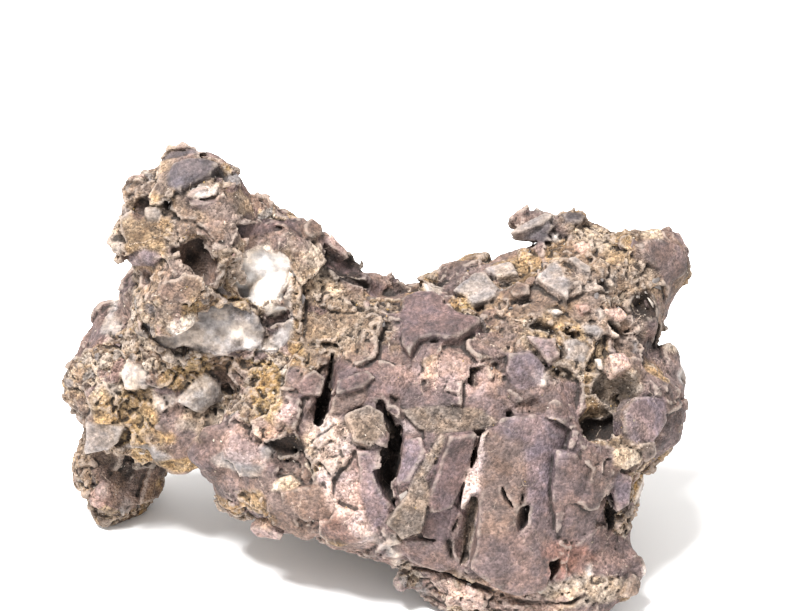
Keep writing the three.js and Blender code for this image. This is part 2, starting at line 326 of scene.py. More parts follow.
class Unevenness:
    """Two boxes of noise that repeat all over space: one for a fragment's rim, one for its face."""

    SIDE = 128
    STEPS = (8, 4, 2)
    RIM = (2.0, 1.4, 0.5)
    FACE = (1.5, 0.7, 0.5)
    SPREAD = 0.2

    def __init__(self, voxel: float, seed: int) -> None:
        """Draws the boxes from a fixed seed.

        Args:
            voxel: The spacing of the boxes' values in millimetres.
            seed: Where the random numbers start.
        """
        self.voxel = voxel
        random = np.random.default_rng(seed)
        shares = np.array((self.RIM, self.FACE))
        self.table = np.zeros((self.SIDE,) * 3 + (2,), np.float32)
        for step, share in zip(self.STEPS, shares.T):
            waves = random.random((self.SIDE // step,) * 3 + (2,)).astype(np.float32)
            for axis in range(3):
                waves = np.repeat(waves, step, axis=axis)
            for axis in (0, 1, 2) * 2:
                waves = sum(np.roll(waves, shift, axis) for shift in range(step)) / step
            self.table += (waves - 0.5) / waves.std() * self.SPREAD * share

    def window(self, first: Array, shape: tuple[int, ...]) -> Array:
        """Returns the rim's and the face's noise for a box of voxels."""
        axes = [(np.arange(n) + a) % self.SIDE for a, n in zip(first, shape)]
        return self.table[np.ix_(*axes)]

    def at(self, points: Array) -> Array:
        """Reads the noise at free places.

        Args:
            points: Places in millimetres.

        Returns:
            The rim's and the face's noise at each place.
        """
        scaled = points / self.voxel
        low = np.floor(scaled).astype(np.int32)
        part = (scaled - low).astype(np.float32)
        total = np.zeros((len(points), 2), np.float32)
        for corner in np.ndindex(2, 2, 2):
            share = np.prod(np.where(corner, part, 1 - part), axis=1)
            total += share[:, None] * self.table[tuple(((low + corner) % self.SIDE).T)]
        return total


@dataclass(frozen=True)
class Patch:
    """An oval patch of one rock on the skin, with its half-sizes along the axes."""

    rock: Rock
    pixel: Pixel
    size: tuple[float, float, float]
    cover: float = 1.0


@dataclass(frozen=True)
class Drift:
    """Loose patches of one rock, wherever its own noise is high."""

    rock: Rock
    size: float
    threshold: float
    cover: float = 0.8


class RockMap:
    """Which rock lies where: placed patches in front, and drifting ones all over."""

    SOFT = 0.3
    DRIFT_SOFT = 0.06
    FRAY = 0.5
    FRAY_SIZE = 5.0
    MIXING = ((0.35, 7.3), (0.4, 3.1), (0.25, 1.2))
    CONTRAST = 2.4

    def __init__(self, ground: Ground, patches: tuple[Patch, ...], drifts: tuple[Drift, ...]) -> None:
        """Finds each patch's middle on the skin.

        Args:
            ground: The solid.
            patches: The placed patches.
            drifts: The drifting ones.
        """
        self.patches = [(patch, ground.under(patch.pixel)[0]) for patch in patches]
        self.drifts = [(drift, LatticeNoise(seed)) for seed, drift in enumerate(drifts, 40)]
        self.fray = LatticeNoise(31)
        self.grain = LatticeNoise(32)

    def layers(self, points: Array) -> list[tuple[Look, Array]]:
        """Lists the rocks that lie on some places, lowest first.

        Args:
            points: Places in millimetres.

        Returns:
            Each rock's look and how much of it covers each place.
        """
        uneven = (self.fray.at(points, self.FRAY_SIZE) - 0.5) * 2 * self.FRAY
        result = []
        for drift, noise in self.drifts:
            loose = (noise.at(points, drift.size) - drift.threshold) / self.DRIFT_SOFT
            result.append((drift.rock.value, drift.cover * np.clip(loose + 0.5, 0, 1)))
        for patch, spot in self.patches:
            away = np.linalg.norm((points - spot) / np.array(patch.size), axis=-1) + uneven
            result.append((patch.rock.value, patch.cover * np.clip((1 - away) / self.SOFT + 0.5, 0, 1)))
        return result

    def relief(self, points: Array) -> tuple[Array, Array]:
        """Works out how smooth and how coarse the rock is.

        Args:
            points: Places in millimetres.

        Returns:
            The calm and the coarse value at each place, 0 to 1.
        """
        calm = np.zeros(points.shape[:-1], np.float32)
        coarse = np.full(points.shape[:-1], 0.25, np.float32)
        for look, share in self.layers(points):
            calm += (look.calm - calm) * share
            coarse += (look.coarse - coarse) * share
        return calm, coarse

    def mixing(self, points: Array) -> Array:
        """Returns how much of a rock's pale colour shows at each place, 0 to 1."""
        share = sum(part * self.grain.at(points, size) for part, size in self.MIXING)
        return np.clip((share - 0.5) * self.CONTRAST + 0.5, 0, 1)


class Nodes:
    """A node tree being written, with one short call for each kind of node."""

    def __init__(self, tree: bpy.types.NodeTree) -> None:
        """Starts on a tree, which may be a shader's or a geometry's."""
        self.tree = tree

    def add(self, kind: str, inputs: dict[int | str, object] | None = None,
            **settings: object) -> bpy.types.Node:
        """Adds a node.

        Args:
            kind: The node's type name.
            inputs: Values or sockets for its inputs, by name or number.
            **settings: The node's own settings.

        Returns:
            The new node.
        """
        node = self.tree.nodes.new(kind)
        for name, value in settings.items():
            setattr(node, name, value)
        for key, value in (inputs or {}).items():
            self.feed(node.inputs[key], value)
        return node

    def feed(self, socket: Socket, value: object) -> None:
        """Links a socket to an input, or sets the input's own value.

        Args:
            socket: The input.
            value: A socket or a plain value.
        """
        if isinstance(value, bpy.types.NodeSocket):
            self.tree.links.new(value, socket)
        else:
            socket.default_value = value

    def math(self, operation: str, a: object, b: object = 0.0, c: object = 0.0) -> Socket:
        """Adds a Math node and returns its result."""
        return self.add("ShaderNodeMath", {0: a, 1: b, 2: c}, operation=operation).outputs[0]

    def vector(self, operation: str, a: object, b: object = (0.0, 0.0, 0.0)) -> Socket:
        """Adds a Vector Math node with two vectors and returns its vector."""
        return self.add("ShaderNodeVectorMath", {0: a, 1: b}, operation=operation).outputs[0]

    def dot(self, a: object, b: object) -> Socket:
        """Returns the dot product of two vectors."""
        node = self.add("ShaderNodeVectorMath", {0: a, 1: b}, operation="DOT_PRODUCT")
        return node.outputs["Value"]

    def scaled(self, a: object, factor: object) -> Socket:
        """Returns a vector times a number."""
        node = self.add("ShaderNodeVectorMath", {0: a, "Scale": factor}, operation="SCALE")
        return node.outputs[0]

    def split(self, vector: object) -> tuple[Socket, Socket, Socket]:
        """Returns a vector's or a colour's three parts."""
        return tuple(self.add("ShaderNodeSeparateXYZ", {0: vector}).outputs)

    def noise(self, at: object, size: float, detail: float = 2.0,
              roughness: float = 0.5) -> tuple[Socket, Socket]:
        """Adds a Noise Texture node, and returns its value and its colour."""
        inputs = {"Vector": at, "Scale": 1 / size, "Detail": detail, "Roughness": roughness}
        node = self.add("ShaderNodeTexNoise", inputs)
        return node.outputs[0], node.outputs[1]

    def cells(self, at: object, size: float, feature: str = "F1") -> bpy.types.Node:
        """Adds a Voronoi Texture node whose cells are about one size across."""
        return self.add("ShaderNodeTexVoronoi", {"Vector": at, "Scale": 1 / size}, feature=feature)

    def random(self, vector: object) -> Socket:
        """Returns a random vector that belongs to another vector."""
        return self.add("ShaderNodeTexWhiteNoise", {"Vector": vector}).outputs["Color"]

    def span(self, value: object, low: float, high: float, start: float = 0.0,
             end: float = 1.0) -> Socket:
        """Maps a value's span onto another with soft ends, and returns the result."""
        inputs = {0: value, 1: low, 2: high, 3: start, 4: end}
        return self.add("ShaderNodeMapRange", inputs, interpolation_type="SMOOTHSTEP").outputs[0]

    def mix(self, factor: object, a: object, b: object, blend: str = "MIX") -> Socket:
        """Mixes two colours.

        Args:
            factor: How much of the second one shows.
            a: The first colour.
            b: The second colour.
            blend: How they mix.

        Returns:
            The mixed colour.
        """
        node = self.add("ShaderNodeMix", data_type="RGBA", blend_type=blend)
        for number, value in ((0, factor), (6, a), (7, b)):
            self.feed(node.inputs[number], value)
        return node.outputs[2]

    def mix_value(self, factor: object, a: object, b: object) -> Socket:
        """Mixes two numbers."""
        return self.add("ShaderNodeMix", {0: factor, 2: a, 3: b}).outputs[0]

    def ramp(self, factor: object, colours: tuple[Colour, ...], steps: bool = False) -> Socket:
        """Adds a Color Ramp with evenly spaced colours.

        Args:
            factor: What picks the colour.
            colours: The colours in order.
            steps: Whether each colour fills its own step, with no blending.

        Returns:
            The colour.
        """
        node = self.add("ShaderNodeValToRGB", {0: factor})
        ramp = node.color_ramp
        ramp.interpolation = "CONSTANT" if steps else "LINEAR"
        while len(ramp.elements) < len(colours):
            ramp.elements.new(0.5)
        spacing = len(colours) if steps else len(colours) - 1
        for number, (element, colour) in enumerate(zip(ramp.elements, colours)):
            element.position = number / spacing
            element.color = colour
        return node.outputs[0]

    def attribute(self, name: str, output: str = "Fac") -> Socket:
        """Reads an attribute that is stored on the piece, in a shader."""
        return self.add("ShaderNodeAttribute", attribute_name=name).outputs[output]

    def named(self, name: str, kind: str = "FLOAT") -> Socket:
        """Reads a number or a vector that is stored on the mesh, in a geometry tree."""
        node = self.add("GeometryNodeInputNamedAttribute", {"Name": name}, data_type=kind)
        return node.outputs["Attribute"]


@dataclass(frozen=True)
class Level:
    """One size of fragment: how far it stands out or in, how it leans, and the gap around it."""

    size: float
    step: float
    lean: float
    most: float
    gap: float
    gap_depth: float


@dataclass(frozen=True)
class Broken:
    """What the break-up gives at a place: which fragment is there and how high it stands."""

    height: Socket
    block: Socket
    chip: Socket
    grit: Socket
    whole_block: Socket
    whole_chip: Socket
    block_edge: Socket
    chip_edge: Socket


@dataclass(frozen=True)
class BreakUp:
    """The cells that the rock is broken along: blocks, some of them broken into chips and grit.

    The same nodes shape the volume and colour the skin, so each fragment's colour ends at its edge.
    """

    blocks: Level = Level(14.0, 1.8, 0.34, 1.7, 0.4, 0.45)
    chips: Level = Level(5.2, 1.1, 0.42, 0.9, 0.4, 0.6)
    grit: Level = Level(2.3, 0.45, 0.36, 0.4, 0.25, 0.2)
    blocks_kept: float = 0.9
    chips_kept: float = 0.6
    chipped: float = 0.4
    bend: float = 2.6
    bend_size: float = 8.0
    fray: float = 0.55
    fray_size: float = 1.7
    pits: float = 0.8
    pit_size: float = 4.2

    def build(self, nodes: Nodes, at: Socket, calm: Socket, coarse: Socket) -> Broken:
        """Adds the break-up to a tree.

        Args:
            nodes: The tree.
            at: Places in millimetres.
            calm: How smooth the rock is there, 0 to 1.
            coarse: How large it breaks there, 0 to 1.

        Returns:
            The sockets that describe the break-up.
        """
        _, bend = nodes.noise(at, self.bend_size)
        grain, fray = nodes.noise(at, self.fray_size)
        bend = nodes.scaled(nodes.vector("SUBTRACT", bend, (0.5,) * 3), self.bend * 2)
        fray = nodes.scaled(nodes.vector("SUBTRACT", fray, (0.5,) * 3), self.fray * 2)
        warped = nodes.vector("ADD", nodes.vector("ADD", at, bend), fray)

        block, block_edge, block_height = self.level(nodes, warped, self.blocks)
        chip, chip_edge, chip_height = self.level(nodes, warped, self.chips)
        grit, _, grit_height = self.level(nodes, warped, self.grit)

        keep_block = nodes.math("MULTIPLY", coarse, self.blocks_kept)
        whole_block = nodes.math("LESS_THAN", nodes.split(block)[0], keep_block)
        whole_chip = nodes.math("LESS_THAN", nodes.split(chip)[0], self.chips_kept)

        loose = nodes.math("MULTIPLY", nodes.math("SUBTRACT", 1.0, whole_chip), grit_height)
        pits, _ = nodes.noise(at, self.pit_size, 2.0, 0.6)
        loose = nodes.math("ADD", loose, nodes.span(pits, 0.36, 0.5, -self.pits, 0.0))
        loose = nodes.math("MULTIPLY_ADD", grain, 0.8, nodes.math("SUBTRACT", loose, 0.4))
        fine = nodes.math("ADD", chip_height, loose)
        faceted = nodes.math("MULTIPLY", chip_height, self.chipped)
        height = nodes.math("ADD", block_height, nodes.mix_value(whole_block, fine, faceted))
        still = nodes.math("MULTIPLY_ADD", calm, -0.9, 1.0)
        return Broken(nodes.math("MULTIPLY", height, still), block, chip, grit,
                      whole_block, whole_chip, block_edge, chip_edge)

    @staticmethod
    def level(nodes: Nodes, at: Socket, level: Level) -> tuple[Socket, Socket, Socket]:
        """Adds one size of fragment.

        Args:
            nodes: The tree.
            at: Warped places in millimetres.
            level: The fragment's size and relief.

        Returns:
            The fragment's own random vector, the distance to its edge, and its height.
        """
        cell = nodes.cells(at, level.size)
        edge = nodes.cells(at, level.size, "DISTANCE_TO_EDGE").outputs["Distance"]
        edge = nodes.math("MULTIPLY", edge, level.size)
        own = nodes.random(cell.outputs["Color"])
        away = nodes.vector("SUBTRACT", at, cell.outputs["Position"])
        lean = nodes.scaled(nodes.vector("SUBTRACT", nodes.random(own), (0.5,) * 3), 2 * level.lean)
        tilt = nodes.math("MINIMUM", nodes.dot(away, lean), level.most)
        tilt = nodes.math("MAXIMUM", tilt, -level.most)
        step = nodes.math("MULTIPLY_ADD", nodes.split(own)[1], level.step, -level.step / 2)
        gap = nodes.span(edge, 0.0, level.gap, -level.gap_depth, 0.0)
        return own, edge, nodes.math("ADD", nodes.math("ADD", tilt, step), gap)

    def heights(self, places: Array, calm: Array, coarse: Array) -> Array:
        """Works the break-up out at free places, with the nodes that the finish uses.

        Args:
            places: Places in millimetres.
            calm: How smooth the rock is at each.
            coarse: How large it breaks at each.

        Returns:
            The height in millimetres at each place.
        """
        cloud = bpy.data.meshes.new("places")
        cloud.vertices.add(len(places))
        cloud.vertices.foreach_set("co", places.astype(np.float32).ravel())
        store(cloud, "calm", calm)
        store(cloud, "coarse", coarse)
        holder = bpy.data.objects.new("places", cloud)
        bpy.context.scene.collection.objects.link(holder)
        tree = bpy.data.node_groups.new("break_up", "GeometryNodeTree")
        tree.interface.new_socket("Geometry", in_out="INPUT", socket_type="NodeSocketGeometry")
        tree.interface.new_socket("Geometry", in_out="OUTPUT", socket_type="NodeSocketGeometry")
        nodes = Nodes(tree)
        start = nodes.add("NodeGroupInput").outputs[0]
        place = nodes.add("GeometryNodeInputPosition").outputs[0]
        broken = self.build(nodes, place, nodes.named("calm"), nodes.named("coarse"))
        inputs = {"Geometry": start, "Name": "height", "Value": broken.height}
        kept = nodes.add("GeometryNodeStoreNamedAttribute", inputs).outputs[0]
        nodes.add("NodeGroupOutput", {0: kept})
        holder.modifiers.new("break_up", "NODES").node_group = tree
        mesh = evaluated_mesh(holder)
        height = read(mesh.attributes["height"].data, "value", 1)
        bpy.data.objects.remove(holder)
        bpy.data.meshes.remove(cloud)
        bpy.data.meshes.remove(mesh)
        return height


class Volume:
    """A dense box of distances to the skin, below 0 inside, in millimetres."""

    def __init__(self, ground: Ground, voxel: float, band: int, margin: float = 7.0) -> None:
        """Measures the distances around the solid.

        Args:
            ground: The solid.
            voxel: The spacing of the distances.
            band: How many voxels from the skin the distances reach.
            margin: Room left round the solid.
        """
        self.voxel = voxel
        self.limit = band * voxel
        grid = openvdb.FloatGrid.createLevelSetFromPolygons(
            ground.points.astype(np.float32),
            triangles=ground.triangles.astype(np.uint32),
            transform=openvdb.createLinearTransform(voxelSize=voxel),
            halfWidth=float(band),
        )
        low = np.floor((ground.points.min(0) - margin) / voxel).astype(int)
        high = np.ceil((ground.points.max(0) + margin) / voxel).astype(int)
        self.corner = low
        self.values = np.zeros(high - low, np.float32)
        grid.copyToArray(self.values, ijk=tuple(int(v) for v in low))

    def blurred(self, radius: float, rounds: int = 2) -> Array:
        """Averages the distances over boxes.

        Args:
            radius: The averaging radius in millimetres.
            rounds: How many times the box runs.

        Returns:
            The averaged distances.
        """
        reach = max(1, round(radius / self.voxel))
        width = 2 * reach + 1
        values = self.values
        for _ in range(rounds):
            for axis in range(3):
                sides = [(0, 0)] * 3
                sides[axis] = (reach + 1, reach)
                total = np.cumsum(np.pad(values, sides, mode="edge"), axis=axis, dtype=np.float32)
                total = np.moveaxis(total, axis, 0)
                values = np.moveaxis((total[width:] - total[:-width]) / width, 0, axis)
        return values

    def places(self, index: Array) -> Array:
        """Returns the places of some voxels."""
        return (index + self.corner) * self.voxel

    def window(self, middle: Array, reach: float) -> tuple[tuple[slice, ...], Array]:
        """Cuts out the voxels around a place.

        Args:
            middle: The place in millimetres.
            reach: Half the window's side.

        Returns:
            The slices, and the places of the voxels in them.
        """
        first = np.floor((middle - reach) / self.voxel).astype(int) - self.corner
        last = np.ceil((middle + reach) / self.voxel).astype(int) - self.corner + 1
        first = np.clip(first, 0, self.values.shape)
        last = np.clip(last, 0, self.values.shape)
        axes = [(np.arange(a, b) + c) * self.voxel for a, b, c in zip(first, last, self.corner)]
        slices = tuple(slice(a, b) for a, b in zip(first, last))
        return slices, np.stack(np.meshgrid(*axes, indexing="ij"), axis=-1).astype(np.float32)

    def sample(self, values: Array, points: Array, stride: int = 1) -> Array:
        """Reads a box of values at free places.

        Args:
            values: The box, or one that has only every stride-th voxel.
            points: Places in millimetres.
            stride: How many voxels lie between two of the values.

        Returns:
            The value at each place, straight between its neighbours.
        """
        scaled = ((points / self.voxel - self.corner) / stride).astype(np.float32)
        low = np.clip(np.floor(scaled).astype(np.int32), 0, np.array(values.shape) - 2)
        part = scaled - low
        total = np.zeros(len(points), np.float32)
        for corner in np.ndindex(2, 2, 2):
            index = low + corner
            share = np.prod(np.where(corner, part, 1 - part), axis=1)
            total += share * values[index[:, 0], index[:, 1], index[:, 2]]
        return total

    def nearest(self, values: Array, points: Array) -> tuple[Array, Array]:
        """Moves free places straight onto the skin of a box of distances.

        Args:
            values: The box.
            points: Places in millimetres.

        Returns:
            The nearest places on the skin, and which way is outwards there.
        """
        steps = np.eye(3) * self.voxel
        slope = [self.sample(values, points + s) - self.sample(values, points - s) for s in steps]
        slope = np.stack(slope, -1)
        slope /= np.maximum(np.linalg.norm(slope, axis=1, keepdims=True), 1e-6)
        return points - slope * self.sample(values, points)[:, None], slope

    def skin(self, values: Array, first: Array) -> tuple[Array, Array]:
        """Skins a box of distances.

        Args:
            values: The box.
            first: The index of its first voxel in this volume.

        Returns:
            The points in millimetres and the quads, facing outwards.
        """
        grid = openvdb.FloatGrid(self.limit)
        box = np.ascontiguousarray(np.clip(values, -self.limit, self.limit))
        grid.copyFromArray(box, ijk=tuple(int(v) for v in self.corner + first))
        grid.transform = openvdb.createLinearTransform(voxelSize=self.voxel)
        points, quads = grid.convertToQuads()
        return points, quads[:, ::-1]


@dataclass(frozen=True)
class Pit:
    """A worn hollow or, where it is raised, a lump: its place, its half-sizes and its middle's depth."""

    pixel: Pixel
    size: tuple[float, float, float]
    sink: float = 0.0
    rough: float = 0.8
    turn: float = 0.0
    rock: Rock | None = None
    raised: bool = False


@dataclass(frozen=True)
class Litter:
    """An oval of ground where chips lie thick, with its half-sizes along the axes."""

    pixel: Pixel
    size: tuple[float, float, float]


@dataclass(frozen=True)
class Fragment:
    """One rock fragment: its outline in the photograph, and how far it stands out of the ground.

    A fragment with a negative stand is a recess, as deep as its depth. A stain colours the ground only.
    """

    rock: Rock
    corners: tuple[Pixel, ...]
    stand: float = 0.8
    depth: float = 5.0
    dome: float = 0.0
    lean: tuple[float, float] = (0.0, 0.0)
    rough: float = 0.5
    cover: float = 0.8
    stain: bool = False


class Placed:
    """A fragment in its place: a plane in the stone, and the outline in that plane."""

    FACING = 0.45
    SPARE = 0.1

    def __init__(self, fragment: Fragment, ground: Ground) -> None:
        """Lays the fragment's plane on the skin.

        Args:
            fragment: The fragment.
            ground: The solid.
        """
        self.fragment = fragment
        camera = ground.camera
        middle = tuple(np.mean(fragment.corners, axis=0))
        found = [ground.under(pixel) for pixel in (*fragment.corners, middle, middle)]
        normal = Vector(np.mean([n for _, n in found], axis=0)).normalized()
        toward = -camera.forward()
        if normal.dot(toward) < self.FACING:
            normal = (normal + toward * (self.FACING - normal.dot(toward) + self.SPARE)).normalized()
        across = toward.cross(Vector((0, 0, 1))).normalized()
        up, right = (math.tan(math.radians(v)) for v in fragment.lean)
        normal = (normal + Vector((0, 0, 1)) * up - across * right).normalized()
        spot = Vector(np.median([s for s, _ in found], axis=0)) + normal * fragment.stand
        self.normal = np.array(normal)
        self.u = np.array(normal.orthogonal().normalized())
        self.v = np.cross(self.normal, self.u)
        self.origin = np.array(spot)
        start = camera.place()
        rim = []
        for pixel in fragment.corners:
            ray = camera.ray(pixel)
            rim.append(np.array(start + ray * ((spot - start).dot(normal) / ray.dot(normal))))
        rim = np.array(rim)
        self.middle = rim.mean(0)
        self.outline = np.stack([(rim - self.origin) @ self.u, (rim - self.origin) @ self.v], -1)
        self.reach = np.linalg.norm(rim - self.middle, axis=1).max()
        self.inner = max(0.5, float(-self.beside((self.middle - self.origin)[None]).min()))

    def beside(self, away: Array) -> Array:
        """Measures the distance to the outline, along the plane.

        Args:
            away: Places from the plane's own middle.

        Returns:
            The distance in millimetres, below 0 inside.
        """
        at = np.stack([away @ self.u, away @ self.v], -1).astype(np.float32)
        nearest = np.full(at.shape[:-1], np.inf, np.float32)
        inside = np.zeros(at.shape[:-1], bool)
        for a, b in zip(self.outline, np.roll(self.outline, -1, axis=0)):
            side = b - a
            rel = at - a
            along = np.clip(rel @ side / (side @ side), 0, 1)
            gap = rel - along[..., None] * side
            nearest = np.minimum(nearest, np.einsum("...i,...i", gap, gap))
            between = (a[1] > at[..., 1]) != (b[1] > at[..., 1])
            crossing = a[0] + (at[..., 1] - a[1]) * side[0] / (side[1] or 1e-9)
            inside ^= between & (at[..., 0] < crossing)
        return np.sqrt(nearest) * np.where(inside, -1, 1)

    def measure(self, places: Array, noise: Array) -> tuple[Array, Array]:
        """Measures places against the fragment.

        Args:
            places: Places in millimetres.
            noise: What makes its rim and its face uneven there.

        Returns:
            The distance to the outline, and the height over the fragment's face.
        """
        away = places - self.origin
        uneven = noise * self.fragment.rough
        beside = self.beside(away) + uneven[..., 0]
        drop = self.fragment.dome * (1 - np.clip(-beside / self.inner, 0, 1)) ** 2
        return beside, away @ self.normal + drop + uneven[..., 1]


@dataclass
class StoneBody:
    """The stone itself: one skin around everything that is fixed in it, made in a few blocks.

    Each block's skin ends under its neighbour's, so that no block has too many triangles.
    """

    MITRE = 0.7071

    ground: Ground
    rocks: RockMap
    break_up: BreakUp
    fragments: tuple[Fragment, ...]
    pits: tuple[Pit, ...]
    litter: tuple[Litter, ...]
    voxel: float = 0.65
    band: int = 8
    stride: int = 4
    reach: float = 4.2
    soften: float = 1.0
    base: float = 3.0
    groove: float = 0.2
    bevel: float = 0.5
    blend: float = 1.3
    merge: float = 1.2
    sparse: float = 0.15
    clear: float = 7.0
    taper: float = 0.25
    near: float = 0.8
    wide: float = 3.4
    cuts: tuple[float, ...] = (-40.0, 22.0)
    overlap: float = 3.0
    back: float = 12.0
    back_slope: float = 0.25
    back_height: float = 60.0
    tuck: float = 0.7
    tuck_start: float = 0.2
    lap: float = 1.2
    pit_wave: float = 4.5
    pit_room: float = 3.0
    pit_edge: float = 1.4
    stain_reach: float = 5.0
    coat_reach: float = 0.8
    coat_room: float = 3.0
    cut_room: float = 2.0
    front_triangles: int = 180_000
    back_triangles: int = 150_000
    smallest_shell: int = 260

    def build(self) -> list[bpy.types.Object]:
        """Makes the stone's skin.

        Returns:
            Its blocks, painted with their rocks and their relief.
        """
        self.noise = LatticeNoise(13)
        self.uneven = Unevenness(self.voxel, 14)
        self.placed = [Placed(fragment, self.ground) for fragment in self.fragments]
        self.holes = [(pit, self.middle(pit)) for pit in self.pits]
        volume = Volume(self.ground, self.voxel, self.band)
        volume.values = volume.blurred(self.soften)
        whole = volume.values.copy()
        self.break_skin(volume)
        for pit, middle in self.holes:
            self.carve(volume, pit, middle)
        for placed in self.placed:
            if not placed.fragment.stain:
                self.set_fragment(volume, placed)
        self.level_feet(volume)
        near = volume.blurred(self.near)
        wide = volume.blurred(self.wide)
        blocks = []
        for number, (low, high, front) in enumerate(self.spans()):
            points, quads = self.block_skin(volume, low, high, front)
            piece = new_object(f"stone_body_{number}", points, quads)
            self.thin(piece, self.front_triangles if front else self.back_triangles)
            at = read(piece.data.vertices, "co", 3) / MM
            for name, values in zip(("skin", "outward"), volume.nearest(whole, at)):
                store(piece.data, name, values)
            # Edge and hollow measure creases and hollows; the finish paints shade into them and pales the
            # convex edges.
            store(piece.data, "edge", volume.sample(near, at))
            store(piece.data, "hollow", volume.sample(wide, at))
            self.paint(piece.data, at)
            piece.data.shade_smooth()
            blocks.append(piece)
        return blocks

    def middle(self, pit: Pit) -> Array:
        """Returns a pit's middle."""
        spot, normal = self.ground.under(pit.pixel)
        return spot - normal * pit.sink

    def break_skin(self, volume: Volume) -> None:
        """Moves the skin in and out, fragment by fragment.

        Args:
            volume: The stone's distances.
        """
        stride = self.stride
        steps = [np.arange(0, n + stride, stride) for n in volume.values.shape]
        grid = np.stack(np.meshgrid(*steps, indexing="ij"), axis=-1)
        calm, coarse = self.rocks.relief(volume.places(grid))
        values = volume.values
        index = np.argwhere(np.abs(values) < self.reach)
        steps = np.eye(3, dtype=int)
        slope = [values[tuple((index + s).T)] - values[tuple((index - s).T)] for s in steps]
        slope = np.stack(slope, -1)
        slope /= np.maximum(np.linalg.norm(slope, axis=1, keepdims=True), 1e-6)
        places = volume.places(index) - slope * values[tuple(index.T)][:, None]
        calm = volume.sample(calm, places, stride)
        coarse = volume.sample(coarse, places, stride)
        height = self.break_up.heights(places, calm, coarse)
        height *= np.clip(places[:, 2] / self.base, 0, 1)
        volume.values[tuple(index.T)] -= height

    def carve(self, volume: Volume, pit: Pit, middle: Array) -> None:
        """Takes a pit out of the volume, or grows a lump on it, with an uneven wall.

        Args:
            volume: The stone's distances.
            pit: The pit or lump.
            middle: Its middle.
        """
        slices, places = volume.window(middle, max(pit.size) + self.pit_room)
        wall = self.pit_distance(pit, middle, places)
        values = volume.values[slices]
        if pit.raised:
            share = np.clip(0.5 + 0.5 * (values - wall) / self.merge, 0, 1)
            joined = values * (1 - share) + wall * share - self.merge * share * (1 - share)
            volume.values[slices] = joined
        else:
            volume.values[slices] = np.maximum(values, -wall)

    def pit_distance(self, pit: Pit, middle: Array, places: Array) -> Array:
        """Measures places against a pit.

        Args:
            pit: The pit.
            middle: Its middle.
            places: Places in millimetres.

        Returns:
            The distance to its wall, below 0 inside.
        """
        angle = math.radians(pit.turn)
        away = places - middle
        across = away[..., 0] * math.cos(angle) - away[..., 2] * math.sin(angle)
        rise = away[..., 0] * math.sin(angle) + away[..., 2] * math.cos(angle)
        scaled = np.stack([across / pit.size[0], away[..., 1] / pit.size[1], rise / pit.size[2]], -1)
        uneven = self.noise.at(places, self.pit_wave) - 0.5
        return (np.linalg.norm(scaled, axis=-1) - 1) * min(pit.size) + pit.rough * 2 * uneven

    def set_fragment(self, volume: Volume, placed: Placed) -> None:
        """Sets a fragment into the volume, or cuts a recess into it.

        Args:
            volume: The stone's distances.
            placed: The fragment in its place.
        """
        fragment = placed.fragment
        slices, places = volume.window(placed.middle, placed.reach + self.clear + self.cut_room)
        values = volume.values[slices]
        first = volume.corner + [piece.start for piece in slices]
        beside, over = placed.measure(places, self.uneven.window(first, values.shape))
        if fragment.stand < 0:
            narrow = beside + self.taper * np.maximum(-over, 0)
            cut = np.maximum(np.maximum(narrow, -over - fragment.depth), over - self.clear)
            volume.values[slices] = np.maximum(values, -cut)
            return
        room = np.maximum(np.maximum(beside - self.groove, -over), over - self.clear)
        values = np.maximum(values, -room)
        solid = np.maximum(beside, over)
        solid = np.maximum(solid, (beside + over + self.bevel) * self.MITRE)
        solid = np.maximum(solid, -over - fragment.depth)
        volume.values[slices] = np.minimum(values, solid)

    def level_feet(self, volume: Volume) -> None:
        """Cuts the feet off flat on the plane that they stand on."""
        rows = (np.arange(volume.values.shape[2]) + volume.corner[2]) * volume.voxel
        volume.values = np.maximum(volume.values, -rows.astype(np.float32))

    def spans(self) -> list[tuple[float, float, bool]]:
        """Lists the blocks: from where to where they go, and whether each is a front one."""
        ends = (-math.inf, *self.cuts, math.inf)
        return [(a, b, True) for a, b in zip(ends, ends[1:])] + [(-math.inf, math.inf, False)]

    def block_skin(self, volume: Volume, low: float, high: float, front: bool) -> tuple[Array, Array]:
        """Skins one block of the volume.

        Args:
            volume: The whole stone.
            low: Where the block starts, across.
            high: Where it ends.
            front: Whether it is before the cut that parts front and back.

        Returns:
            Its points and its quads.
        """
        shape = volume.values.shape
        axes = [(np.arange(n) + c) * volume.voxel for n, c in zip(shape, volume.corner)]
        kept = (axes[0] > low - self.overlap) & (axes[0] < high + self.overlap)
        first = np.array([int(kept.argmax()), 0, 0])
        x = axes[0][kept].astype(np.float32)[:, None, None]
        y = axes[1].astype(np.float32)[None, :, None]
        z = axes[2].astype(np.float32)[None, None, :]
        values = volume.values[kept]
        deep = y - self.back - self.back_slope * (z - self.back_height)
        for beyond in (low - x, x - high, deep if front else -deep):
            tucked = values + self.tuck * np.clip(beyond - self.tuck_start, 0, 1)
            values = np.maximum(tucked, beyond - self.lap)
        points, quads = volume.skin(values, first)
        return self.drop_crumbs(points, quads)

    def drop_crumbs(self, points: Array, quads: Array) -> tuple[Array, Array]:
        """Drops the small shells that came loose.

        Args:
            points: The skin's points.
            quads: Its faces.

        Returns:
            The points and faces that stay.
        """
        edges = np.concatenate([quads[:, [a, b]] for a, b in ((0, 1), (1, 2), (2, 3))])
        label = np.arange(len(points))
        while True:
            lowest = label.copy()
            np.minimum.at(lowest, edges[:, 0], label[edges[:, 1]])
            np.minimum.at(lowest, edges[:, 1], label[edges[:, 0]])
            lowest = lowest[lowest]
            if (lowest == label).all():
                break
            label = lowest
        sizes = np.bincount(label, minlength=len(points))
        kept = sizes[label] > self.smallest_shell
        starts = np.cumsum(kept) - 1
        return points[kept], starts[quads[kept[quads[:, 0]]]]

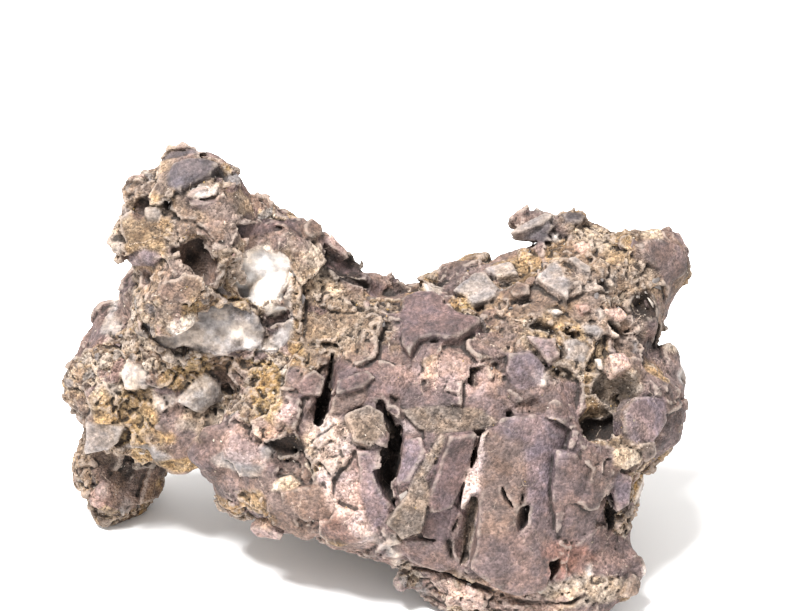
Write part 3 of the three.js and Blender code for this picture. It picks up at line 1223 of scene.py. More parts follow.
    @staticmethod
    def thin(piece: bpy.types.Object, triangles: int) -> None:
        """Thins a skin to its number of triangles, most where it is flat.

        Args:
            piece: The skin.
            triangles: The most triangles that it may have.
        """
        now = 2 * len(piece.data.polygons)
        if now > triangles:
            piece.modifiers.new("fewer", "DECIMATE").ratio = triangles / now
            settle(piece)

    def paint(self, mesh: bpy.types.Mesh, at: Array) -> None:
        """Stores the rock's tint, cover, calm and coarseness at each point, and how thick chips lie there.

        Args:
            mesh: The skin.
            at: Its points in millimetres.
        """
        coat = Coat(self.rocks, at)
        for look, share in self.rocks.layers(at):
            coat.lay(look, share)
        # A pit's rock colours its inside; where that rock is SHADOW, this paints shadow into the pit.
        for pit, middle in self.holes:
            if pit.rock:
                coat.lay(pit.rock.value, np.clip(self.pit_edge - self.pit_distance(pit, middle, at), 0, 1))
        noise = self.uneven.at(at)
        for placed in self.placed:
            fragment = placed.fragment
            near = np.linalg.norm(at - placed.middle, axis=1) < placed.reach + self.coat_room
            beside, over = placed.measure(at[near], noise[near])
            over_most = self.stain_reach if fragment.stain else self.coat_reach
            blend = 2 * self.blend if fragment.stain else self.blend
            share = np.zeros(len(at), np.float32)
            share[near] = np.clip(0.6 - beside / blend, 0, 1)
            share[near] *= (over < over_most) & (over > -fragment.depth - 0.5)
            coat.lay(fragment.rock.value, share * fragment.cover)
        coat.store(mesh)
        loose = np.full(len(at), self.sparse, np.float32)
        for oval in self.litter:
            away = np.linalg.norm((at - self.ground.under(oval.pixel)[0]) / np.array(oval.size), axis=1)
            loose = np.maximum(loose, np.clip(2.0 - 1.5 * away, 0, 1))
        store(mesh, "loose", loose)


class Coat:
    """The rock on each point of a skin, laid one over the other."""

    def __init__(self, rocks: RockMap, at: Array) -> None:
        """Starts with bare broken rock.

        Args:
            rocks: What mixes each rock's colours.
            at: The points in millimetres.
        """
        self.mixing = rocks.mixing(at)[:, None]
        self.tint = np.zeros((len(at), 4), np.float32)
        self.cover = np.zeros(len(at), np.float32)
        self.calm = np.zeros(len(at), np.float32)
        self.coarse = np.full(len(at), 0.25, np.float32)

    def lay(self, look: Look, share: Array) -> None:
        """Lays one rock over what is there already.

        Args:
            look: The rock's look.
            share: How much of it lies at each point, 0 to 1.
        """
        here = share > 0
        part = share[here]
        colour = np.array(look.dark) * (1 - self.mixing[here]) + np.array(look.pale) * self.mixing[here]
        under = self.cover[here] * (1 - part)
        total = (under + part)[:, None]
        self.tint[here] = (self.tint[here] * under[:, None] + colour * part[:, None]) / total
        self.cover[here] = under + part
        self.calm[here] += (look.calm - self.calm[here]) * part
        self.coarse[here] += (look.coarse - self.coarse[here]) * part

    def store(self, mesh: bpy.types.Mesh) -> None:
        """Writes the coat on a mesh."""
        for name in ("tint", "cover", "calm", "coarse"):
            store(mesh, name, getattr(self, name))


@dataclass(frozen=True)
class BrecciaFinish:
    """The stone's finish: every fragment has its own colour, and painted shade darkens every hollow and
    crease.
    """

    break_up: BreakUp
    block_colours: tuple = (
        srgb(96, 80, 78), srgb(84, 70, 68), srgb(106, 91, 86),
        srgb(78, 66, 65), srgb(100, 88, 81), srgb(90, 76, 74),
    )
    chip_colours: tuple = (
        srgb(106, 101, 98), srgb(92, 87, 86), srgb(126, 116, 107), srgb(92, 78, 75),
        srgb(142, 133, 124), srgb(104, 90, 78), srgb(72, 66, 65), srgb(112, 95, 88),
    )
    grit_colours: tuple = (
        srgb(124, 110, 94), srgb(104, 90, 76), srgb(88, 74, 64),
        srgb(142, 130, 117), srgb(72, 60, 52), srgb(114, 99, 85),
    )
    # The painted shade colour for hollows, creases and pores; it also draws the dark crack lines.
    shade: Colour = srgb(24, 18, 14)
    worn: Colour = srgb(172, 157, 145)
    cool: Colour = (0.84, 0.86, 0.92, 1.0)
    warm: Colour = (1.0, 0.93, 0.87, 1.0)

    def build(self) -> bpy.types.Material:
        """Makes the material.

        Returns:
            The new material.
        """
        material = bpy.data.materials.new("breccia")
        material.use_nodes = True
        nodes = Nodes(material.node_tree)
        shader = material.node_tree.nodes["Principled BSDF"]
        shader.inputs["Specular IOR Level"].default_value = SPECULAR
        coordinates = nodes.add("ShaderNodeTexCoord").outputs["Object"]
        at = nodes.scaled(coordinates, 1 / MM)
        calm = nodes.attribute("calm")
        skin = nodes.attribute("skin", "Vector")
        broken = self.break_up.build(nodes, skin, calm, nodes.attribute("coarse"))
        colour = self.fragments(nodes, broken)
        cover = self.frayed(nodes, at, nodes.attribute("cover"))
        colour = nodes.mix(cover, colour, nodes.attribute("tint", "Color"))
        colour = self.weather(nodes, at, colour, calm)
        nodes.feed(shader.inputs["Base Color"], colour)
        nodes.feed(shader.inputs["Roughness"], nodes.mix_value(calm, 0.92, 0.5))
        nodes.feed(shader.inputs["Normal"], self.bump(nodes, at, calm))
        return material

    @staticmethod
    def frayed(nodes: Nodes, at: Socket, cover: Socket) -> Socket:
        """Frays a cover's border by a fine noise.

        Args:
            nodes: The material's tree.
            at: Places in millimetres.
            cover: How much of the ground is covered, 0 to 1.

        Returns:
            The frayed cover.
        """
        fray, _ = nodes.noise(at, 1.6, 4.0, 0.7)
        mixed = nodes.math("MULTIPLY_ADD", fray, 0.7, nodes.math("SUBTRACT", cover, 0.35))
        return nodes.span(mixed, 0.3, 0.6)

    def fragments(self, nodes: Nodes, broken: Broken) -> Socket:
        """Colours blocks, chips and grit, each fragment by its own random number.

        Args:
            nodes: The material's tree.
            broken: Which fragment is where.

        Returns:
            The colour.
        """
        block = nodes.ramp(nodes.split(broken.block)[2], self.block_colours, True)
        chip = nodes.ramp(nodes.split(broken.chip)[2], self.chip_colours, True)
        grit = nodes.ramp(nodes.split(broken.grit)[2], self.grit_colours, True)
        chip = nodes.mix(nodes.span(broken.chip_edge, 0.15, 0.5), grit, chip)
        fine = nodes.mix(broken.whole_chip, grit, chip)
        block = nodes.mix(nodes.span(broken.block_edge, 0.1, 0.6), grit, block)
        return nodes.mix(broken.whole_block, fine, block)

    def weather(self, nodes: Nodes, at: Socket, colour: Socket, calm: Socket) -> Socket:
        """Adds grains, painted shade in pores, hollows and creases, and pale worn edges.

        Args:
            nodes: The material's tree.
            at: Places in millimetres.
            colour: The rock's own colour, before weathering and painted shade.
            calm: How smooth the rock is, 0 to 1.

        Returns:
            The weathered colour.
        """
        rough = nodes.math("MULTIPLY_ADD", calm, -0.8, 1.0)
        cloud, drift = nodes.noise(at, 7.0, 4.0, 0.6)
        hue = nodes.ramp(nodes.span(cloud, 0.38, 0.62), (self.cool, self.warm))
        colour = nodes.mix(1.0, colour, nodes.scaled(hue, 1.1), "MULTIPLY")
        mottle, _ = nodes.noise(at, 1.8, 6.0, 0.75)
        mottle = nodes.span(mottle, 0.25, 0.75, 0.5, 1.5)
        mottle = nodes.mix_value(nodes.span(calm, 0.6, 0.95, 0.0, 0.75), mottle, 1.0)
        colour = nodes.mix(1.0, colour, mottle, "MULTIPLY")
        colour = nodes.mix(nodes.span(calm, 0.3, 0.6), self.cracks(nodes, at, drift, colour), colour)
        grain = nodes.cells(at, 0.75).outputs["Color"]
        grain = nodes.ramp(nodes.split(grain)[0], (srgb(120, 108, 96), srgb(236, 232, 224)))
        grained = nodes.mix(1.0, colour, nodes.scaled(grain, 1.9), "MULTIPLY")
        colour = nodes.mix(nodes.math("MULTIPLY", rough, 0.85), colour, grained)
        edge = nodes.attribute("edge")
        hollow = nodes.attribute("hollow")
        # Painted shade: hollows and creases are darkened toward the shade colour, less on smooth rock.
        shade_strength = nodes.span(calm, 0.7, 0.95, 1.0, 0.3)
        deep = nodes.math("MULTIPLY", nodes.span(hollow, -2.6, -0.4, 0.8, 0.0), shade_strength)
        colour = nodes.mix(deep, colour, nodes.mix(1.0, colour, self.shade, "MULTIPLY"))
        crease_shade = nodes.math("MULTIPLY", nodes.span(edge, -0.40, -0.06, 0.85, 0.0), shade_strength)
        colour = nodes.mix(crease_shade, colour, self.shade)
        worn = nodes.span(edge, 0.08, 0.4, 0.0, 0.35)
        colour = nodes.mix(worn, colour, self.worn)
        # Painted shade in pores: small dark spots on rough rock where its pores are.
        pore = nodes.span(nodes.cells(at, 1.5).outputs["Distance"], 0.12, 0.26, 0.9, 0.0)
        sparse = nodes.span(nodes.noise(at, 5.0)[0], 0.48, 0.58)
        sparse = nodes.math("MULTIPLY", sparse, rough)
        return nodes.mix(nodes.math("MULTIPLY", pore, sparse), colour, self.shade)

    def cracks(self, nodes: Nodes, at: Socket, drift: Socket, colour: Socket) -> Socket:
        """Draws fine dark lines, bent and broken off here and there, and pale ones between them.

        Args:
            nodes: The material's tree.
            at: Places in millimetres.
            drift: What bends the lines.
            colour: The colour that they are drawn on.

        Returns:
            The colour with the lines.
        """
        bent = nodes.vector("ADD", at, nodes.scaled(drift, 5.0))
        for size, width, line in ((9.0, 0.03, self.shade), (5.0, 0.04, self.shade), (11.0, 0.012, self.worn)):
            edge = nodes.cells(bent, size, "DISTANCE_TO_EDGE").outputs["Distance"]
            here = nodes.span(nodes.noise(at, size * 0.7, 3.0)[0], 0.54, 0.62, 0.0, 0.55)
            drawn = nodes.math("MULTIPLY", nodes.span(edge, width * 0.3, width, 1.0, 0.0), here)
            colour = nodes.mix(drawn, colour, line)
        return colour

    def bump(self, nodes: Nodes, at: Socket, calm: Socket) -> Socket:
        """Roughens the skin below the size of its mesh.

        Args:
            nodes: The material's tree.
            at: Places in millimetres.
            calm: How smooth the rock is, 0 to 1.

        Returns:
            The normal.
        """
        coarse, _ = nodes.noise(at, 1.3, 5.0, 0.65)
        grain = nodes.cells(at, 0.75).outputs["Distance"]
        joined = nodes.math("MULTIPLY_ADD", grain, -0.5, coarse)
        still = nodes.math("MULTIPLY_ADD", calm, -0.85, 1.0)
        inputs = {"Strength": still, "Distance": 1.0 * MM, "Height": joined}
        return nodes.add("ShaderNodeBump", inputs).outputs["Normal"]


@dataclass(frozen=True)
class StrewnFinish:
    """The finish of loose chips and grains: one colour each, by its own random number."""

    name: str
    colours: tuple[Colour, ...]
    roughness: float = 0.8

    def build(self) -> bpy.types.Material:
        """Makes the material.

        Returns:
            The new material.
        """
        material = bpy.data.materials.new(self.name)
        material.use_nodes = True
        nodes = Nodes(material.node_tree)
        shader = material.node_tree.nodes["Principled BSDF"]
        shader.inputs["Roughness"].default_value = self.roughness
        shader.inputs["Specular IOR Level"].default_value = SPECULAR
        at = nodes.scaled(nodes.add("ShaderNodeTexCoord").outputs["Object"], 1 / MM)
        colour = nodes.ramp(nodes.attribute("tone"), self.colours, True)
        mottle, _ = nodes.noise(at, 1.2, 5.0, 0.7)
        mottle = nodes.span(mottle, 0.25, 0.75, 0.65, 1.3)
        nodes.feed(shader.inputs["Base Color"], nodes.mix(1.0, colour, mottle, "MULTIPLY"))
        inputs = {"Strength": 0.6, "Distance": 0.5 * MM, "Height": nodes.noise(at, 0.8, 4.0, 0.6)[0]}
        nodes.feed(shader.inputs["Normal"], nodes.add("ShaderNodeBump", inputs).outputs["Normal"])
        return material


@dataclass(frozen=True)
class Strewn:
    """Small angular pieces bedded all over the skin."""

    SIZES = ("Density", "Smallest", "Largest", "Sink", "Flatness", "Gathered", "Clearance", "Rareness")
    LEAN = 0.35
    TURN = 6.28
    NARROWEST = 0.55

    name: str
    finish: StrewnFinish
    count_per_cm2: float
    smallest: float
    largest: float
    sink: float
    flatness: float
    corners: int
    seed: int
    gathered: float
    rareness: float = 2.5
    clearance: float = 4.0
    shapes: int = 6

    def build(self, carrier: bpy.types.Object) -> bpy.types.Object:
        """Strews the pieces over a carrier.

        Args:
            carrier: The skin, with its rocks painted on.

        Returns:
            One plain mesh object.
        """
        collection = bpy.data.collections.new(self.name)
        random = np.random.default_rng(self.seed)
        for number in range(self.shapes):
            collection.objects.link(self.shape(f"{self.name}_shape_{number}", random))
        piece = bpy.data.objects.new(self.name, carrier.data.copy())
        bpy.context.scene.collection.objects.link(piece)
        tree = self.tree(collection)
        strewing = piece.modifiers.new("strewing", "NODES")
        strewing.node_group = tree
        values = {
            "Density": self.count_per_cm2 / (10 * MM) ** 2,
            "Smallest": self.smallest * MM,
            "Largest": self.largest * MM,
            "Sink": self.sink,
            "Flatness": self.flatness,
            "Gathered": self.gathered,
            "Clearance": self.clearance * MM,
            "Rareness": self.rareness,
            "Seed": self.seed,
        }
        for item in tree.interface.items_tree:
            if item.name in values:
                strewing[item.identifier] = values[item.name]
        settle(piece)
        for shape in list(collection.objects):
            bpy.data.objects.remove(shape)
        bpy.data.collections.remove(collection)
        return piece

    def shape(self, name: str, random: np.random.Generator) -> bpy.types.Object:
        """Makes one angular piece of about unit size, not linked to the scene.

        Args:
            name: The piece's name.
            random: Where its corners are drawn from.

        Returns:
            The piece.
        """
        points = random.normal(size=(self.corners, 3))
        points /= np.linalg.norm(points, axis=1)[:, None]
        points *= 0.5 * random.uniform(0.8, 1.1, (self.corners, 1))
        work = bmesh.new()
        for point in points:
            work.verts.new(point)
        hull = bmesh.ops.convex_hull(work, input=work.verts)
        inner = [v for v in hull["geom_interior"] if isinstance(v, bmesh.types.BMVert)]
        bmesh.ops.delete(work, geom=inner, context="VERTS")
        mesh = bpy.data.meshes.new(name)
        work.to_mesh(mesh)
        work.free()
        return bpy.data.objects.new(name, mesh)

    def tree(self, collection: bpy.types.Collection) -> bpy.types.NodeTree:
        """Writes the strewing tree.

        Args:
            collection: The shapes to strew.

        Returns:
            The tree, with its sizes as inputs.
        """
        tree = bpy.data.node_groups.new(self.name, "GeometryNodeTree")
        face = tree.interface
        face.new_socket("Geometry", in_out="INPUT", socket_type="NodeSocketGeometry")
        for name in self.SIZES:
            face.new_socket(name, in_out="INPUT", socket_type="NodeSocketFloat")
        face.new_socket("Seed", in_out="INPUT", socket_type="NodeSocketInt")
        face.new_socket("Geometry", in_out="OUTPUT", socket_type="NodeSocketGeometry")
        nodes = Nodes(tree)
        start = nodes.add("NodeGroupInput").outputs
        rough = nodes.math("MULTIPLY_ADD", nodes.named("calm"), -2.0, 1.0)
        rough = nodes.math("MAXIMUM", rough, 0.0)
        loose = nodes.mix_value(start["Gathered"], 1.0, nodes.named("loose"))
        height = nodes.split(nodes.add("GeometryNodeInputPosition").outputs[0])[2]
        lifted = nodes.math("GREATER_THAN", height, start["Clearance"])
        density = nodes.math("MULTIPLY", nodes.math("MULTIPLY", rough, loose), lifted)
        density = nodes.math("MULTIPLY", start["Density"], density)
        spread = nodes.add("GeometryNodeDistributePointsOnFaces",
                           {"Mesh": start[0], "Density": density, "Seed": start["Seed"]})
        share = self.any_value(nodes, "FLOAT", 0.0, 1.0, 1)
        share = nodes.math("POWER", share, start["Rareness"])
        size = nodes.math("SUBTRACT", start["Largest"], start["Smallest"])
        size = nodes.math("MULTIPLY_ADD", size, share, start["Smallest"])
        down = nodes.math("MULTIPLY", nodes.math("MULTIPLY", size, start["Sink"]), -1.0)
        outward = nodes.named("outward", "FLOAT_VECTOR")
        offset = nodes.scaled(outward, down)
        moved = nodes.add("GeometryNodeSetPosition", {"Geometry": spread.outputs[0], "Offset": offset})
        laid = nodes.add("FunctionNodeAlignRotationToVector", {"Vector": outward}, axis="Z").outputs[0]
        least = (-self.LEAN, -self.LEAN, 0.0)
        most = (self.LEAN, self.LEAN, self.TURN)
        turn = self.any_value(nodes, "FLOAT_VECTOR", least, most, 2)
        turn = nodes.add("FunctionNodeEulerToRotation", {0: turn}).outputs[0]
        turned = nodes.add("FunctionNodeRotateRotation", {0: laid, 1: turn}, rotation_space="LOCAL")
        narrow = self.any_value(nodes, "FLOAT", self.NARROWEST, 1.0, 3)
        scale = nodes.add("ShaderNodeCombineXYZ", {0: 1.0, 1: narrow, 2: start["Flatness"]}).outputs[0]
        shapes = nodes.add("GeometryNodeCollectionInfo",
                           {"Collection": collection, "Separate Children": True, "Reset Children": True})
        inputs = {"Points": moved.outputs[0], "Instance": shapes.outputs[0], "Pick Instance": True,
                  "Rotation": turned.outputs[0], "Scale": nodes.scaled(scale, size)}
        placed = nodes.add("GeometryNodeInstanceOnPoints", inputs).outputs[0]
        tone = self.any_value(nodes, "FLOAT", 0.0, 1.0, 4)
        placed = nodes.add("GeometryNodeStoreNamedAttribute",
                           {"Geometry": placed, "Name": "tone", "Value": tone}, domain="INSTANCE")
        real = nodes.add("GeometryNodeRealizeInstances", {0: placed.outputs[0]}).outputs[0]
        dressed = nodes.add("GeometryNodeSetMaterial", {"Geometry": real, "Material": self.finish.build()})
        nodes.add("NodeGroupOutput", {0: dressed.outputs[0]})
        return tree

    @staticmethod
    def any_value(nodes: Nodes, kind: str, low: object, high: object, seed: int) -> Socket:
        """Adds a Random Value node.

        Args:
            nodes: The tree.
            kind: FLOAT or FLOAT_VECTOR.
            low: The least value.
            high: The greatest value.
            seed: What makes it differ from the tree's other ones.

        Returns:
            The node's value.
        """
        node = nodes.add("FunctionNodeRandomValue", data_type=kind)
        first, second, out = {"FLOAT_VECTOR": (0, 1, 0), "FLOAT": (2, 3, 1)}[kind]
        nodes.feed(node.inputs[first], low)
        nodes.feed(node.inputs[second], high)
        nodes.feed(node.inputs["Seed"], seed)
        return node.outputs[out]


@dataclass(frozen=True)
class Studio:
    """A white floor, a bright room and a large lamp from the upper left."""

    floor: float = 6.0
    floor_colour: Colour = (0.98, 0.975, 0.97, 1.0)
    room: float = 1.12
    lamp_power: float = 61.0
    lamp_size: float = 0.4
    lamp_place: tuple[float, float, float] = (-0.32, -0.42, 1.3)
    lamp_aim: tuple[float, float, float] = (0.0, 0.0, 0.06)
    backdrop: float = 1.05
    room_colour: Colour = (1.0, 0.99, 0.98, 1.0)

    def build(self) -> None:
        """Makes the floor, the lamp and the room's light."""
        side = self.floor / 2 / MM
        corners = [(-side, -side, 0), (side, -side, 0), (side, side, 0), (-side, side, 0)]
        floor = new_object("floor", np.array(corners), np.array([[0, 1, 2, 3]]))
        paper = bpy.data.materials.new("paper")
        paper.use_nodes = True
        shader = paper.node_tree.nodes["Principled BSDF"]
        shader.inputs["Base Color"].default_value = self.floor_colour
        shader.inputs["Roughness"].default_value = 1.0
        shader.inputs["Specular IOR Level"].default_value = 0.0
        floor.data.materials.append(paper)

        light = bpy.data.lights.new("lamp", "AREA")
        light.energy = self.lamp_power
        light.size = self.lamp_size
        lamp = bpy.data.objects.new("lamp", light)
        bpy.context.scene.collection.objects.link(lamp)
        lamp.location = self.lamp_place
        lamp.rotation_mode = "QUATERNION"
        aim = Vector(self.lamp_aim) - lamp.location
        lamp.rotation_quaternion = aim.to_track_quat("-Z", "Y")

        world = bpy.data.worlds.new("room")
        world.use_nodes = True
        bpy.context.scene.world = world
        nodes = Nodes(world.node_tree)
        background = world.node_tree.nodes["Background"]
        seen = nodes.add("ShaderNodeLightPath").outputs["Is Camera Ray"]
        nodes.feed(background.inputs["Strength"], nodes.mix_value(seen, self.room, self.backdrop))
        background.inputs["Color"].default_value = self.room_colour
        bpy.context.scene.view_settings.view_transform = "Standard"


# Ground of one rock, placed by the photograph. A later patch lies over the earlier ones
PATCHES = (
    Patch(Rock.TAN, (170, 240), (26, 22, 26), 0.55),
    Patch(Rock.TAN, (590, 300), (34, 28, 20), 0.45),
    Patch(Rock.MAUVE, (450, 470), (34, 26, 34), 0.9),
    Patch(Rock.MAUVE, (350, 405), (22, 22, 18), 0.8),
    Patch(Rock.MAUVE, (530, 520), (24, 20, 28), 0.95),
    Patch(Rock.MAUVE, (440, 350), (22, 14, 10), 0.5),
    Patch(Rock.TAN, (345, 325), (16, 16, 8), 0.8),
    Patch(Rock.PINK, (455, 375), (16, 10, 5), 0.5),
    Patch(Rock.CREAM, (322, 262), (7, 7, 10), 0.5),
    Patch(Rock.CREAM, (590, 240), (8, 8, 4), 0.5),
    Patch(Rock.PLUM, (535, 485), (15, 14, 17), 0.6),
    Patch(Rock.PLUM, (350, 395), (14, 14, 10), 0.55),
    Patch(Rock.PLUM, (445, 480), (12, 12, 14), 0.65),
    Patch(Rock.CREAM, (130, 400), (14, 12, 8), 0.45),
    Patch(Rock.QUARTZ, (200, 462), (12, 8, 2.2), 0.6),
    Patch(Rock.MAUVE, (215, 205), (7, 7, 5), 0.5),
    Patch(Rock.BROWN, (180, 222), (8, 8, 6), 0.5),
    Patch(Rock.MAUVE, (230, 235), (8, 8, 5), 0.5),
    Patch(Rock.GREY, (135, 212), (6, 6, 6), 0.4),
    Patch(Rock.CREAM, (215, 425), (12, 10, 6), 0.5),
    Patch(Rock.QUARTZ, (162, 402), (6, 6, 4), 0.6),
    Patch(Rock.QUARTZ, (112, 392), (5, 5, 4), 0.5),
    Patch(Rock.CREAM, (505, 602), (26, 12, 6), 0.8),
    Patch(Rock.QUARTZ, (152, 449), (7, 8, 1.8), 0.6),
    Patch(Rock.QUARTZ, (240, 468), (7, 8, 2.0), 0.7),
    Patch(Rock.OCHRE, (190, 452), (14, 8, 2.0), 0.6),
    # Painted shadow in a small crumbly recess.
    Patch(Rock.SHADOW, (283, 455), (5, 6, 4), 0.7),
    Patch(Rock.BROWN, (300, 510), (22, 16, 12), 0.8),
    Patch(Rock.PINK, (345, 475), (9, 10, 16), 0.6),
    Patch(Rock.CREAM, (330, 440), (8, 8, 9), 0.7),
    Patch(Rock.OCHRE, (128, 415), (11, 10, 11), 0.8),
    Patch(Rock.OCHRE, (185, 375), (9, 8, 6), 0.6),
    Patch(Rock.OCHRE, (200, 462), (16, 9, 3.5), 0.8),
    Patch(Rock.OCHRE, (146, 245), (9, 9, 14), 0.45),
    Patch(Rock.OCHRE, (240, 303), (10, 8, 3), 0.6),
    Patch(Rock.OCHRE, (520, 262), (9, 9, 5), 0.6),
    Patch(Rock.OCHRE, (560, 330), (10, 9, 7), 0.4),
    Patch(Rock.OCHRE, (255, 505), (7, 8, 7), 0.6),
    # Painted shadow on the underside of the left foot.
    Patch(Rock.SHADOW, (145, 470), (13, 14, 6), 0.6),
    Patch(Rock.BROWN, (140, 490), (13, 12, 8), 0.7),
    Patch(Rock.GREY, (238, 460), (9, 7, 3), 0.7),
    Patch(Rock.GREY, (160, 450), (12, 7, 2.5), 0.8),
    Patch(Rock.PINK, (250, 440), (14, 9, 6), 0.45),
    Patch(Rock.PLUM, (262, 235), (13, 9, 6), 0.6),
    Patch(Rock.MAUVE, (165, 280), (11, 9, 8), 0.4),
    # Painted shadow in the hollows of the ridge.
    Patch(Rock.SHADOW, (345, 262), (10, 9, 5), 0.8),
    Patch(Rock.BROWN, (380, 285), (14, 8, 4), 0.8),
    Patch(Rock.GRANULAR, (620, 430), (12, 12, 12), 0.5),
    Patch(Rock.CREAM, (590, 592), (22, 12, 5), 0.6),
    Patch(Rock.TAN, (500, 605), (26, 14, 5), 0.3),
    Patch(Rock.PINK, (490, 598), (24, 12, 5), 0.7),
    Patch(Rock.RED, (565, 562), (10, 9, 5), 0.7),
    Patch(Rock.RED, (340, 520), (12, 9, 6), 0.4),
)

# Loose patches all round
DRIFTS = (
    Drift(Rock.TAN, 19.0, 0.58, 0.6),
    Drift(Rock.MAUVE, 23.0, 0.56, 0.8),
    Drift(Rock.OCHRE, 11.0, 0.74, 0.6),
    Drift(Rock.QUARTZ, 12.0, 0.84, 0.8),
    Drift(Rock.BROWN, 15.0, 0.70, 0.6),
)

# Worn hollows, and the lumps in them; a pit whose rock is SHADOW is painted with shadow inside
PITS = (
    Pit((261, 275), (13.6, 4.4, 11.0), 0.4, 0.8, 0.0, Rock.WHITE),
    Pit((264, 272), (12.0, 5.4, 10.0), 4.2, 1.4, 0.0, Rock.MILKY, True),
    Pit((245, 262), (4.4, 4.4, 5.0), 3.4, 0.8, 0.0, Rock.MILKY, True),
    Pit((279, 262), (6.4, 4.6, 5.8), 3.6, 0.8, 0.0, Rock.MILKY, True),
    Pit((265, 288), (6.0, 4.4, 6.4), 3.8, 0.8, 8.0, Rock.MILKY, True),
    Pit((196, 262), (6.8, 4.6, 7.8), 0.0, 2.4, 0.0, Rock.BROWN),
    Pit((180, 449), (12.0, 6.0, 10.4), 3.0, 1.4, 0.0, None, True),
    Pit((212, 455), (10.0, 6.0, 9.4), 3.0, 1.4, 0.0, None, True),
    Pit((139, 210), (1.9, 3.6, 2.3), 0.0, 0.8, 0.0, Rock.BROWN),
    Pit((145, 277), (2.4, 4.0, 2.8), 0.0, 1.0, 0.0, Rock.BROWN),
    Pit((167, 203), (1.4, 4.0, 2.0), 0.0, 0.4, 0.0, Rock.SHADOW),
    Pit((598, 432), (8.0, 6.5, 4.6), 0.0, 1.6, 0.0, Rock.SHADOW),
    Pit((613, 388), (7.0, 3.2, 7.0), 0.0, 0.8, 0.0, Rock.GRANULAR),
    Pit((645, 305), (4.5, 7.0, 4.6), 0.0, 1.2, 0.0, Rock.SHADOW),
    Pit((350, 266), (9.0, 6.0, 3.6), 0.0, 1.0, 24.0, Rock.SHADOW),
    Pit((285, 448), (5.0, 4.4, 3.2), 0.0, 2.8, 0.0, Rock.SHADOW),
)


def slot(depth: float, *corners: Pixel) -> Fragment:
    """Returns a recess with an outline and a depth, painted with the shadow colour inside."""
    return Fragment(Rock.SHADOW, corners, -0.4, depth)


# The top of the left tower
TOWER = (
    Fragment(Rock.SLATE, ((172, 161), (186, 156), (204, 155), (219, 161), (212, 172), (199, 179), (180, 187),
                          (168, 183), (166, 171)), 1.6, 6, 1.4, rough=0.4, cover=1.0),
    Fragment(Rock.SLATE, ((160, 160), (170, 152), (190, 149), (208, 151), (190, 153), (172, 158)), 0.8, 4,
             0.6, rough=0.4, cover=0.9),
    slot(3, (181, 187), (211, 175), (222, 163), (215, 176), (196, 184), (184, 190)),
    slot(2, (218, 168), (228, 172), (230, 184), (224, 182)),
    Fragment(Rock.PLUM, ((185, 194), (192, 187), (203, 185), (216, 186), (204, 190), (190, 197)), 1.6, 4),
    Fragment(Rock.WHITE, ((193, 193), (203, 190), (219, 188), (218, 196), (203, 199), (193, 198)), 0.8, 4),
    Fragment(Rock.PLUM, ((189, 199), (203, 200), (218, 197), (216, 201), (203, 205), (191, 204)), 1.4, 4),
    Fragment(Rock.GREY, ((144, 207), (156, 206), (161, 212), (158, 220), (147, 221), (143, 215)), 0.6, 4,
             1.2),
    Fragment(Rock.GREY, ((229, 174), (238, 171), (242, 179), (236, 184), (229, 182)), 0.6, 4, 0.8),
    Fragment(Rock.PLUM, ((232, 228), (262, 222), (282, 229), (262, 234), (238, 238)), 0.4, 3),
    Fragment(Rock.LILAC, ((125, 255), (143, 250), (160, 258), (150, 268), (128, 268)), 1.0, 5, 0.8),
    Fragment(Rock.BROWN, ((303, 223), (311, 215), (322, 224), (325, 232), (314, 237), (306, 232)), 2.4, 6),
    Fragment(Rock.PINK, ((325, 236), (332, 233), (346, 247), (349, 256), (336, 252), (326, 243)), 1.6, 6),
    Fragment(Rock.PLUM, ((318, 240), (338, 252), (362, 268), (392, 280), (380, 292), (346, 282), (322, 262)),
             0, 6, cover=0.9, stain=True),
    slot(3, (322, 242), (342, 257), (366, 272), (362, 277), (340, 266), (321, 248)),
    slot(2.5, (326, 256), (346, 271), (372, 285), (368, 290), (344, 280), (325, 264)),
    slot(2, (376, 277), (404, 283), (440, 286), (438, 290), (402, 288)),
)

